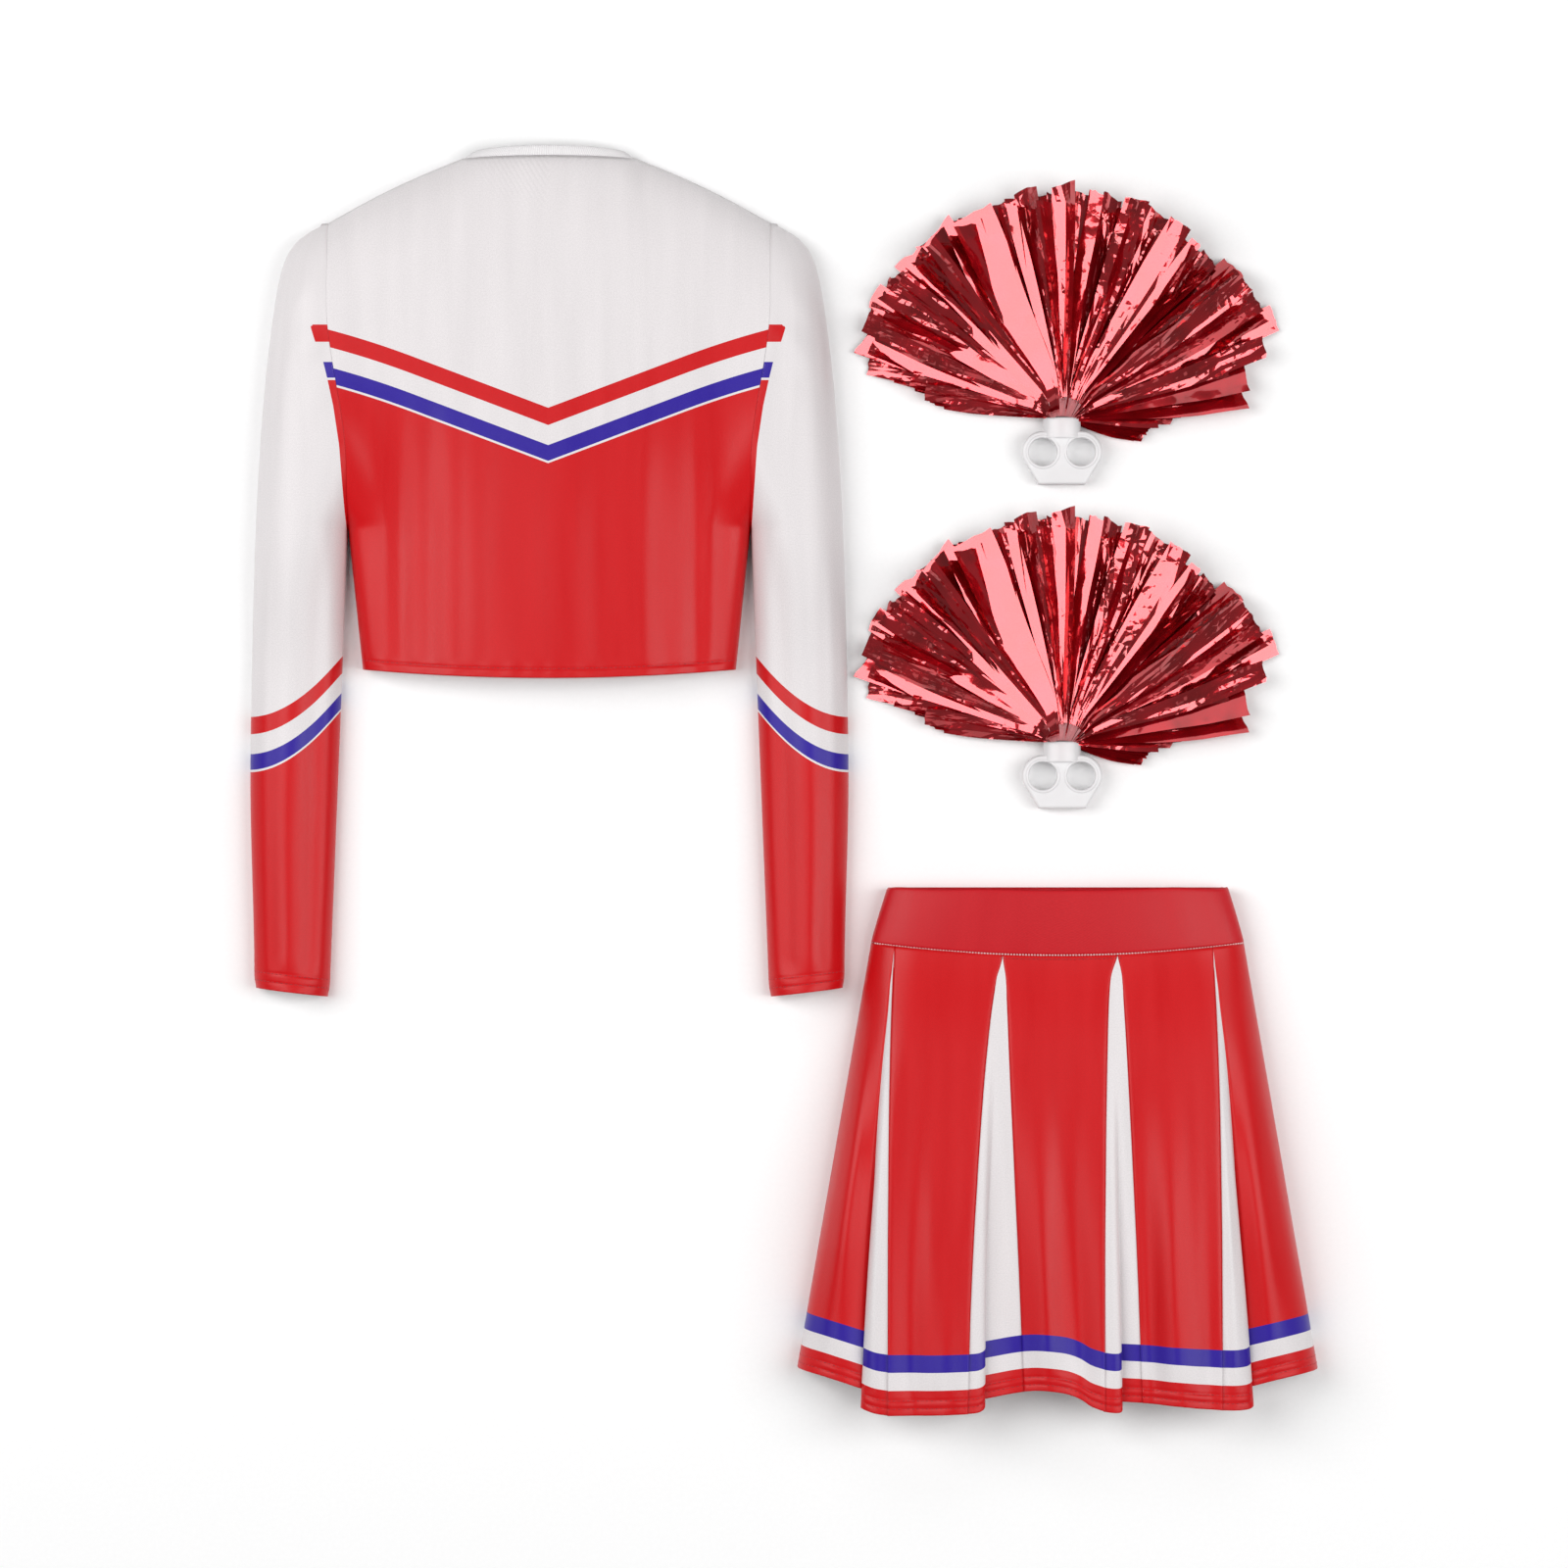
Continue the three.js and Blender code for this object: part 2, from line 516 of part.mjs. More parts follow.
skirt.add(
  mesh("side_gore_left", sideGore(FRONT_GODETS[0], BACK_GODETS[0], -1), RED_KNIT()),
  mesh("side_gore_right", sideGore(FRONT_GODETS[3], BACK_GODETS[3], 1), RED_KNIT()),
);

// ---------------------------------------------------------------- pompoms
// The moulded handle: a flat plate with two finger holes and a collar that holds the streamers.
function handle() {
  const half = FINGER_PITCH / 2;
  const outline = new THREE.Shape();
  const slope = Math.atan2(HOLE_Y - HANDLE_FOOT_Y, half + LOBE_R - HANDLE_FOOT_HALF);
  const tangent = Math.PI / 2 - slope;
  outline.moveTo(-HANDLE_FOOT_HALF + 3, HANDLE_FOOT_Y);
  outline.lineTo(HANDLE_FOOT_HALF - 3, HANDLE_FOOT_Y);
  outline.quadraticCurveTo(
    HANDLE_FOOT_HALF, HANDLE_FOOT_Y, HANDLE_FOOT_HALF + 1.5, HANDLE_FOOT_Y + 4,
  );
  outline.absarc(half, HOLE_Y, LOBE_R, -tangent, Math.PI / 2, false);
  outline.absarc(-half, HOLE_Y, LOBE_R, Math.PI / 2, Math.PI + tangent, false);
  outline.lineTo(-HANDLE_FOOT_HALF - 1.5, HANDLE_FOOT_Y + 4);
  outline.quadraticCurveTo(-HANDLE_FOOT_HALF, HANDLE_FOOT_Y, -HANDLE_FOOT_HALF + 3, HANDLE_FOOT_Y);
  for (const x of [-half, half]) {
    const hole = new THREE.Path();
    hole.absarc(x, HOLE_Y, FINGER_HOLE_R, 0, 2 * Math.PI, true);
    outline.holes.push(hole);
  }
  const plate = new THREE.ExtrudeGeometry(outline, {
    depth: HANDLE_THICK, bevelEnabled: false, curveSegments: 8,
  });
  const oval = (shrink, from, to) => {
    const ring = steps(24, 0, 2 * Math.PI).slice(0, 24);
    const at = (y) => ring.map((a) => [
      (COLLAR_HALF - shrink) * Math.cos(a), y,
      COLLAR_HEIGHT / 2 + (COLLAR_HEIGHT / 2 - shrink) * Math.sin(a),
    ]);
    return loft([at(from), at(to)]);
  };
  const collar = oval(0, 0, -COLLAR_LENGTH);
  const socket = oval(COLLAR_WALL, 1, -SOCKET_DEPTH);
  return fromSolid(solid(plate).add(solid(collar)).subtract(solid(socket)));
}

// One bundle of streamers: a wedge of the fan, gathered at the collar and splayed at its tips. Its
// slot is its place, of all the bundles, across the collar's mouth.
function bundle({ from, to, reach }, slot) {
  const mouth = COLLAR_HALF - COLLAR_WALL - 2 * GAP;
  const slotWidth = (2 * mouth) / BUNDLES.length;
  const slotLeft = -mouth + slot * slotWidth + GAP / 2;
  const neck = steps(3, slotLeft, slotLeft + slotWidth - GAP).map((x) => [x, GAP]);
  const angles = steps(3, from, to).map((degrees) => THREE.MathUtils.degToRad(degrees));
  const ring = (flat, low, high) => [
    ...flat.map(([x, y]) => [x, y, high]),
    ...flat.slice().reverse().map(([x, y]) => [x, y, low]),
  ];
  const first = ring(neck, COLLAR_WALL + 2 * GAP, COLLAR_HEIGHT - COLLAR_WALL - 2 * GAP);
  const rings = [0, 0.17, 0.45, 0.75, 1].map((t) => {
    const full = Math.sin(Math.PI * (0.15 + 0.5 * t));
    const swell = mix(COLLAR_HEIGHT, TUFT_HEIGHT, full);
    const high = mix(swell, TUFT_TIP_HEIGHT, smooth((t - 0.5) / 0.5));
    const r = mix(SPLAY_R, reach, t);
    const flat = angles.map((a) => [r * Math.cos(a), GAP + r * Math.sin(a)]);
    return ring(flat, 0, high);
  });
  return loft([first, ...rings]);
}

// The tied root of the folded streamers, which fills the collar's socket up to its mouth.
function streamerRoot() {
  const ring = steps(20, 0, 2 * Math.PI).slice(0, 20);
  const shrink = COLLAR_WALL + GAP;
  const at = (y) => ring.map((a) => [
    (COLLAR_HALF - shrink) * Math.cos(a), y,
    COLLAR_HEIGHT / 2 + (COLLAR_HEIGHT / 2 - shrink) * Math.sin(a),
  ]);
  return loft([at(-SOCKET_DEPTH + GAP), at(0)]);
}

// ---------------------------------------------------------------- layout
const fanReach = Math.max(...BUNDLES.map(({ reach }) => reach));
const fanLeft = Math.max(...BUNDLES.map(
  ({ from, to, reach }) => -reach * Math.cos(THREE.MathUtils.degToRad(Math.max(from, to))),
));
const topOut = Math.max(...armholeYs.map(sleeveOutX), sleeveOutX(UNDERARM_Y - SLEEVE_LENGTH / 3));
const pompomX = topOut + TOP_TO_POMPOM + fanLeft;
const pompomY = SHOULDER_NECK_Y + NECK_RISE - NECK_TO_FAN - fanReach;
const pompomPitch = fanReach - HANDLE_FOOT_Y + POMPOM_TO_POMPOM;
const skirtTopY = pompomY - pompomPitch + HANDLE_FOOT_Y - POMPOM_TO_SKIRT;
const cuffLevel = (skirtTopY - WAISTBAND_DEPTH - (SHOULDER_Y - SLEEVE_LENGTH)) / SKIRT_SIDE_LENGTH;
const skirtX = topOut + CUFF_TO_SKIRT + skirtHalf(clamp(cuffLevel));
skirt.position.set(skirtX, skirtTopY, 0);

const uniform = new THREE.Group();
uniform.add(top, skirt);
[1, 2].forEach((number) => {
  const pompom = new THREE.Group();
  pompom.position.set(pompomX, pompomY - (number - 1) * pompomPitch, 0);
  const name = `pompom_${number}`;
  pompom.add(
    mesh(`${name}_handle`, handle(), WHITE_PLASTIC()),
    mesh(`${name}_streamer_root`, streamerRoot(), RED_FOIL()),
  );
  BUNDLES.forEach((spec, slot) =>
    pompom.add(mesh(`${name}_streamers_${spec.name}`, bundle(spec, slot), RED_FOIL())));
  uniform.add(pompom);
});
// The origin is the middle of the whole layout, on the surface that it lies on.
const extent = new THREE.Box3().setFromObject(uniform);
const middle = extent.getCenter(new THREE.Vector3());
for (const article of uniform.children) article.position.sub(middle.setZ(0));

export default uniform;
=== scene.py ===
import math

import bpy
import numpy as np
from mathutils import Matrix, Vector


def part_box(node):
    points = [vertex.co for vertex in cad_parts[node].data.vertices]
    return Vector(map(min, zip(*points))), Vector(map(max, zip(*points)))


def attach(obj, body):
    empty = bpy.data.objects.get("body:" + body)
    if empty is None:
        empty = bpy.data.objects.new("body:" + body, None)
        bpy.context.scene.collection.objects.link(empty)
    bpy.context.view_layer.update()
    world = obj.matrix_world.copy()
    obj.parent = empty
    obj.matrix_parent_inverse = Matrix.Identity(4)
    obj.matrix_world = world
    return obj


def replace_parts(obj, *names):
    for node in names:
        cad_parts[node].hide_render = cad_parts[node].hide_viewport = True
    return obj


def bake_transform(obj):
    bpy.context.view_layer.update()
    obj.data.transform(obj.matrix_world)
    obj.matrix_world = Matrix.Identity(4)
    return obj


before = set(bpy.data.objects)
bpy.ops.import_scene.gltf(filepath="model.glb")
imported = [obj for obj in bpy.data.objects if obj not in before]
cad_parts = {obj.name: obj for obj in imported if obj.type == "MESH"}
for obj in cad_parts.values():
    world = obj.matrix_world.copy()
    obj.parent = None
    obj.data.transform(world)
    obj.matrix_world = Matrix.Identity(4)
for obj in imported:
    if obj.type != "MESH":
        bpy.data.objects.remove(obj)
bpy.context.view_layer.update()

# A cheer uniform laid out flat: a long-sleeved crop top with its back up, a pleated skirt with its
# front up, and two foil pompoms. Shapes are worked out in millimetres, each article in its own
# frame, and go into the scene in metres.
MM = 0.001


def article_origin(node, height_share):
    """The place of an article's own zero: a node's middle across, and its low or high edge."""
    low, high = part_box(node)
    return np.array([(low.x + high.x) / 2, low.y + (high.y - low.y) * height_share, 0.0])


TOP_ORIGIN = article_origin("back_body_panel", 0)
SKIRT_ORIGIN = article_origin("waistband_outer", 1)
POMPOM_ORIGINS = [article_origin(f"pompom_{n}_handle", 1) for n in (1, 2)]

# ---------------------------------------------------------------- colours and nodes
WHITE_CLOTH = "#E2DDDE"
RED_CLOTH = "#CB0F15"
BLUE_CLOTH = "#301D98"


def linear(hex_colour):
    """An sRGB hex colour as linear RGBA."""
    parts = [int(hex_colour[i : i + 2], 16) / 255 for i in (1, 3, 5)]
    return [c / 12.92 if c <= 0.04045 else ((c + 0.055) / 1.055) ** 2.4 for c in parts] + [1.0]


def node(tree, kind, inputs=None, stops=(), **settings):
    """Adds a node, with its settings, its ramp's stops as (place, colour), its sockets' values and
    the links into it. A node as a value stands for its first output."""
    made = tree.nodes.new("ShaderNode" + kind)
    for name, value in settings.items():
        setattr(made, name, value)
    for index, (place, colour) in enumerate(stops):
        elements = made.color_ramp.elements
        element = elements[index] if index < 2 else elements.new(place)
        element.position = place
        element.color = linear(colour)
    for socket, value in (inputs or {}).items():
        if isinstance(value, bpy.types.Node):
            value = value.outputs[0]
        if isinstance(value, bpy.types.NodeSocket):
            tree.links.new(value, made.inputs[socket])
        else:
            made.inputs[socket].default_value = value
    return made


def new_material(name):
    """A material with nothing but its output, and its tree."""
    made = bpy.data.materials.new(name)
    made.use_nodes = True
    made.node_tree.nodes.clear()
    return made, made.node_tree


def finish_material(tree, inputs):
    """Ends a material with a surface that has these values and links."""
    node(tree, "OutputMaterial", {"Surface": node(tree, "BsdfPrincipled", inputs)})


# The stretch that every print is given over, in mm.
PRINT_FROM, PRINT_TO = -12.0, 60.0
# The print, as it runs down from the edge of the white yoke: where each colour starts, in mm.
STRIPES = [(PRINT_FROM, WHITE_CLOTH), (0.0, RED_CLOTH), (12.8, WHITE_CLOTH), (27.8, BLUE_CLOTH),
           (39.6, WHITE_CLOTH), (41.4, RED_CLOTH)]
# The bands at the skirt's hem, as they run up from its edge.
HEM_BANDS = [(PRINT_FROM, RED_CLOTH), (17.6, WHITE_CLOTH), (30.6, BLUE_CLOTH)]
BLUE_BAND_TOP = 43.2
# The knit's wales are about 0.45 mm apart and its courses 0.35 mm. They are drawn this far apart,
# in mm, which is as fine as can show.
WALE_SPACING, COURSE_SPACING = 1.5, 1.2
# Tension varies the gloss down the cloth in streaks this wide and long, in mm, and the colour is
# painted lighter and darker along them as sheen.
STREAK_WIDTH, STREAK_LENGTH = 16, 150


def printed_colour(tree, stops, measure):
    """Hard-edged colours along a measure in mm, as a dye-sublimation print has them."""
    share = node(tree, "MapRange", {
        "Value": measure, "From Min": PRINT_FROM, "From Max": PRINT_TO,
    })
    shares = [((start - PRINT_FROM) / (PRINT_TO - PRINT_FROM), colour) for start, colour in stops]
    ramp = node(tree, "ValToRGB", {"Fac": share}, stops=shares)
    ramp.color_ramp.interpolation = "CONSTANT"
    return ramp


def satin_knit(name, stops, tab=False, stretch_lines=False, roughness=0.34):
    """Warp-knitted polyester and elastane with a satin face, dyed by sublimation. It gives the eye
    a smooth, slightly glossy cloth with soft light along its folds and a faint fine grain, and
    its colour carries painted sheen streaks and painted glints."""
    made, tree = new_material(name)
    lay = node(tree, "Attribute", attribute_name="lay").outputs["Vector"]
    measure = node(tree, "Attribute", attribute_name="band").outputs["Fac"]
    if tab:
        # On a sleeve the yoke's stripes run a little way past the armhole seam.
        inset = node(tree, "Attribute", attribute_name="tab_inset").outputs["Fac"]
        tab_down = node(tree, "Attribute", attribute_name="tab_down").outputs["Fac"]
        inside = node(tree, "Math", {0: inset, 1: 0.0}, operation="GREATER_THAN")
        measure = node(tree, "Mix", {0: inside, 2: measure, 3: tab_down})
    colour = printed_colour(tree, stops, measure)
    part = node(tree, "SeparateXYZ", {0: lay})
    ridges = []
    for across, spacing in enumerate((WALE_SPACING, COURSE_SPACING)):
        turns = node(tree, "Math", {0: part.outputs[across], 1: 2 * math.pi / spacing},
                     operation="MULTIPLY")
        ridges.append(node(tree, "Math", {0: turns}, operation="SINE"))
    loops = node(tree, "Math", {0: ridges[0], 1: ridges[1]}, operation="MULTIPLY")
    # Single filaments glint, in flecks of about 1 mm. The flecks raise the bump, and are also
    # painted into the colour as glints.
    fleck = node(tree, "TexNoise", {"Vector": lay, "Scale": 0.95, "Detail": 2.0})
    stretched = node(tree, "VectorMath", {
        0: lay, 1: (1 / STREAK_WIDTH, 1 / STREAK_LENGTH, 1 / STREAK_WIDTH),
    }, operation="MULTIPLY")
    gloss_and_painted_sheen_streak = node(tree, "TexNoise", {"Vector": stretched, "Scale": 1.0, "Detail": 3.0})
    # Painted glints: the flecks make the colour a little lighter and darker.
    grain = node(tree, "MapRange", {
        "Value": fleck.outputs["Fac"], "From Min": 0.3, "From Max": 0.7,
        "To Min": 0.93, "To Max": 1.03,
    })
    # Painted sheen: the colour is made lighter and darker along the streaks.
    tone = node(tree, "MapRange", {
        "Value": gloss_and_painted_sheen_streak.outputs["Fac"], "From Min": 0.3, "From Max": 0.7,
        "To Min": 0.965, "To Max": 1.02,
    })
    both = node(tree, "Math", {0: grain, 1: tone}, operation="MULTIPLY")
    shade = node(tree, "Mix", {0: 1.0, 6: colour, 7: both},
                 data_type="RGBA", blend_type="MULTIPLY")
    rough = node(tree, "MapRange", {
        "Value": gloss_and_painted_sheen_streak.outputs["Fac"], "From Min": 0.3, "From Max": 0.7,
        "To Min": roughness - 0.05, "To Max": roughness + 0.06,
    })
    height = node(tree, "Math", {0: loops, 1: 0.5, 2: fleck.outputs["Fac"]},
                  operation="MULTIPLY_ADD")
    if stretch_lines:
        height = node(tree, "Math", {0: height, 1: neck_stretch(tree, part)}, operation="ADD")
    bump = node(tree, "Bump", {
        "Strength": 0.35, "Distance": 0.12 * MM, "Height": height,
    })
    finish_material(tree, {
        "Base Color": shade.outputs[2], "Roughness": rough, "IOR": 1.54,
        "Specular IOR Level": 0.22, "Normal": bump,
    })
    return made


# The lines that the neck band pulls in the cloth: how steeply they run, how far apart they are up
# the cloth, and the Y they grow over.
PULL_SLOPE, PULL_SPACING = 1.7, 6.8
PULL_FROM, PULL_TO, PULL_HALF = 338.0, 384.0, 92.0


def neck_stretch(tree, part):
    """Fine lines that run in a V under the neck, where the cloth is pulled by its band. They are
    3.4 mm apart."""
    side = node(tree, "Math", {0: part.outputs[0]}, operation="ABSOLUTE")
    v = node(tree, "Math", {0: side, 1: -PULL_SLOPE, 2: part.outputs[1]}, operation="MULTIPLY_ADD")
    turns = node(tree, "Math", {0: v, 1: 2 * math.pi / PULL_SPACING}, operation="MULTIPLY")
    lines = node(tree, "Math", {0: turns}, operation="SINE")
    near_neck = node(tree, "MapRange", {
        "Value": part.outputs[1], "From Min": PULL_FROM, "From Max": PULL_TO, "To Max": 2.6,
    }, interpolation_type="SMOOTHSTEP")
    near_middle = node(tree, "MapRange", {
        "Value": side, "From Min": PULL_HALF, "From Max": 8.0,
    }, interpolation_type="SMOOTHSTEP")
    amount = node(tree, "Math", {0: near_neck, 1: near_middle}, operation="MULTIPLY")
    return node(tree, "Math", {0: lines, 1: amount}, operation="MULTIPLY")


def knit_reverse():
    """The unprinted side of the same cloth: matt and white, with a little of the red showing
    through."""
    made, tree = new_material("satin_knit_reverse")
    lay = node(tree, "Attribute", attribute_name="lay").outputs["Vector"]
    noise = node(tree, "TexNoise", {"Vector": lay, "Scale": 0.8, "Detail": 3.0})
    ramp = node(tree, "ValToRGB", {"Fac": noise.outputs["Fac"]},
                stops=[(0.0, "#DCCBCC"), (1.0, "#EADCDD")])
    bump = node(tree, "Bump", {
        "Strength": 0.3, "Distance": 0.15 * MM, "Height": noise.outputs["Fac"],
    })
    finish_material(tree, {
        "Base Color": ramp, "Roughness": 0.8, "IOR": 1.54, "Sheen Weight": 0.2, "Normal": bump,
    })
    return made


def rib_knit():
    """The neck's 1x1 rib, white polyester: fine ridges across the band, with painted shade that
    makes the colour lighter on each ridge and darker between them. The real ones are 0.9 mm apart,
    and are drawn 1.6 mm apart so that they show."""
    made, tree = new_material("white_rib_knit")
    lay = node(tree, "Attribute", attribute_name="lay").outputs["Vector"]
    part = node(tree, "SeparateXYZ", {0: lay})
    turns = node(tree, "Math", {0: part.outputs[0], 1: 2 * math.pi / 1.6}, operation="MULTIPLY")
    ribs = node(tree, "Math", {0: turns}, operation="SINE")
    # Painted shade: the colour follows the ribs, lighter on their crests and darker in the
    # grooves.
    tone = node(tree, "MapRange", {
        "Value": ribs, "From Min": -1.0, "To Min": 0.0, "To Max": 1.0,
    })
    ramp = node(tree, "ValToRGB", {"Fac": tone}, stops=[(0.0, "#DEDBDC"), (1.0, "#EEECED")])
    bump = node(tree, "Bump", {"Strength": 0.5, "Distance": 0.3 * MM, "Height": ribs})
    finish_material(tree, {
        "Base Color": ramp, "Roughness": 0.6, "IOR": 1.54, "Sheen Weight": 0.15, "Normal": bump,
    })
    return made


def sewing_thread(name, light, dark):
    """Spun polyester thread: matt, with the shade between its two plies painted as darker turns 1
    mm apart.
    """
    made, tree = new_material(name)
    coordinates = node(tree, "TexCoord").outputs["Object"]
    noise = node(tree, "TexNoise", {
        "Vector": coordinates, "Scale": 1 / MM, "Detail": 1.0,
    })
    ramp = node(tree, "ValToRGB", {"Fac": noise.outputs["Fac"]},
                stops=[(0.35, dark), (0.65, light)])
    finish_material(tree, {
        "Base Color": ramp, "Roughness": 0.7, "IOR": 1.54, "Sheen Weight": 0.1,
    })
    return made


def metallised_film():
    """Red lacquer over vacuum-metallised polyester film, 0.02 mm thick: a tinted mirror under a
    clear gloss, which the folding and packing have crinkled. The lacquer scatters some of the
    light, so its dark parts stay red."""
    made, tree = new_material("red_metallised_film")
    along = node(tree, "Attribute", attribute_name="lay").outputs["Vector"]
    crumple = node(tree, "Attribute", attribute_name="crumple").outputs["Fac"]
    # Broad dents some 22 mm across, and sharp crinkles of 8 mm.
    dents = node(tree, "TexNoise", {
        "Vector": along, "Scale": 0.045, "Detail": 1.0, "Distortion": 0.4,
    })
    crinkles = node(tree, "TexVoronoi", {"Vector": along, "Scale": 0.12},
                    feature="DISTANCE_TO_EDGE")
    edge = node(tree, "MapRange", {
        "Value": crinkles.outputs["Distance"], "From Max": 0.35,
    })
    crinkled = node(tree, "Math", {0: edge, 1: crumple}, operation="MULTIPLY")
    height = node(tree, "Math", {0: crinkled, 1: 0.25, 2: dents.outputs["Fac"]},
                  operation="MULTIPLY_ADD")
    bump = node(tree, "Bump", {
        "Strength": 0.5, "Distance": 2.2 * MM, "Height": height,
    })
    # The red is painted darker in the low parts of the broad dents, as shade.
    red_with_painted_dent_shade = node(tree, "ValToRGB", {"Fac": dents.outputs["Fac"]},
                stops=[(0.3, "#A50C16"), (0.7, "#D41626")])
    finish_material(tree, {
        "Base Color": red_with_painted_dent_shade, "Metallic": 0.72, "Roughness": 0.13,
        "Coat Weight": 1.0, "Coat Roughness": 0.04, "Coat IOR": 1.7,
        "Normal": bump, "Coat Normal": bump,
    })
    return made


def moulded_polypropylene():
    """White injection-moulded polypropylene: a soft gloss, very slightly uneven, that lets a
    little light in."""
    made, tree = new_material("white_moulded_polypropylene")
    coordinates = node(tree, "TexCoord").outputs["Object"]
    # Shrinkage makes the faces wander over some 12 mm, and the mould's texture is 0.8 mm.
    flow = node(tree, "TexNoise", {
        "Vector": coordinates, "Scale": 1 / (12 * MM), "Detail": 2.0,
    })
    skin = node(tree, "TexNoise", {
        "Vector": coordinates, "Scale": 1 / (0.8 * MM), "Detail": 1.0,
    })
    tone = node(tree, "ValToRGB", {"Fac": flow.outputs["Fac"]},
                stops=[(0.0, "#E2E0E1"), (1.0, "#EAE9EA")])
    gloss = node(tree, "MapRange", {
        "Value": flow.outputs["Fac"], "To Min": 0.3, "To Max": 0.4,
    })
    bump = node(tree, "Bump", {
        "Strength": 0.12, "Distance": 0.1 * MM, "Height": skin.outputs["Fac"],
    })
    finish_material(tree, {
        "Base Color": tone, "Roughness": gloss, "IOR": 1.49,
        "Subsurface Weight": 0.08, "Subsurface Radius": (0.002, 0.002, 0.002),
        "Normal": bump,
    })
    return made


def studio_floor():
    """Matt white backdrop card, with a grain of about 3 mm."""
    made, tree = new_material("white_backdrop_card")
    coordinates = node(tree, "TexCoord").outputs["Object"]
    noise = node(tree, "TexNoise", {
        "Vector": coordinates, "Scale": 1 / (3 * MM), "Detail": 1.0,
    })
    ramp = node(tree, "ValToRGB", {"Fac": noise.outputs["Fac"]},
                stops=[(0.0, "#FBFBFB"), (1.0, "#FFFFFF")])
    finish_material(tree, {"Base Color": ramp, "Roughness": 0.9})
    return made


PRINTED_TOP = satin_knit("printed_satin_knit_top", STRIPES, tab=True, stretch_lines=True)
PRINTED_GORE = satin_knit("printed_satin_knit_gore", HEM_BANDS + [(BLUE_BAND_TOP, RED_CLOTH)])
PRINTED_GODET = satin_knit("printed_satin_knit_godet", HEM_BANDS + [(BLUE_BAND_TOP, WHITE_CLOTH)])
RED_KNIT = satin_knit("red_satin_knit", [(PRINT_FROM, "#C41822"), (PRINT_TO, "#C41822")],
                      roughness=0.38)
REVERSE = knit_reverse()
RIB = rib_knit()
RED_THREAD = sewing_thread("red_thread", "#C41F28", "#8E0F16")
PINK_THREAD = sewing_thread("pink_white_thread", "#F3D3D3", "#E3A3A4")
FILM = metallised_film()
PLASTIC = moulded_polypropylene()


# ---------------------------------------------------------------- mesh helpers
def mix(a, b, t):
    return a + (b - a) * t


def clamp(x):
    return np.clip(x, 0.0, 1.0)


def smooth(x):
    return clamp(x) ** 2 * (3 - 2 * clamp(x))


def rolled(distance, radius):
    """The height of a rolled fold, from 0 at its edge to 1 at one radius in."""
    return np.sqrt(np.maximum(0.0, 1 - (1 - clamp(distance / radius)) ** 2))


def hump(x, middle, width):
    """A soft rise of 1 at the middle."""
    return np.exp(-(((x - middle) / width) ** 2))


def normals_of(points, round_it=False):
    """Unit normals of a grid of points, by the differences along its rows and columns."""
    if round_it:
        across = np.roll(points, -1, 1) - np.roll(points, 1, 1)
    else:
        across = np.gradient(points, axis=1)
    down = np.gradient(points, axis=0)
    made = np.cross(down, across)
    return made / np.maximum(np.linalg.norm(made, axis=2, keepdims=True), 1e-9)


def grid_faces(rows, columns, round_it=False, closed=False):
    """The quads of a grid whose points are numbered row by row. Its rows can run round, and it can
    be closed from its last row to its first."""
    j, i = np.meshgrid(np.arange(rows if closed else rows - 1),
                       np.arange(columns if round_it else columns - 1), indexing="ij")
    row, next_row = j * columns, (j + 1) % rows * columns
    beside = (i + 1) % columns
    return np.stack([row + i, next_row + i, next_row + beside, row + beside],
                    axis=-1).reshape(-1, 4)


FLOOR_GAP = 0.02


def piece_from(name, points, faces, origin, materials, attributes, face_materials=None):
    """An object from points in mm in an article's frame, with per-point attributes."""
    # Nothing sinks into the floor that the article lies on.
    points = np.concatenate([points[:, :2], np.maximum(points[:, 2:], FLOOR_GAP)], axis=1)
    mesh = bpy.data.meshes.new(name)
    mesh.from_pydata((points * MM + origin).tolist(), [], [list(f) for f in faces])
    for material in materials:
        mesh.materials.append(material)
    if face_materials is not None:
        mesh.polygons.foreach_set("material_index", np.asarray(face_materials, np.int32))
    for attribute, values in attributes.items():
        values = np.asarray(values, np.float32)
        kind = "FLOAT_VECTOR" if values.ndim == 2 else "FLOAT"
        made = mesh.attributes.new(attribute, kind, "POINT")
        made.data.foreach_set("vector" if values.ndim == 2 else "value", values.ravel())
    mesh.polygons.foreach_set("use_smooth", [True] * len(mesh.polygons))
    mesh.update()
    made = bpy.data.objects.new(name, mesh)
    bpy.context.scene.collection.objects.link(made)
    return made


CLOTH_THICKNESS = 0.8


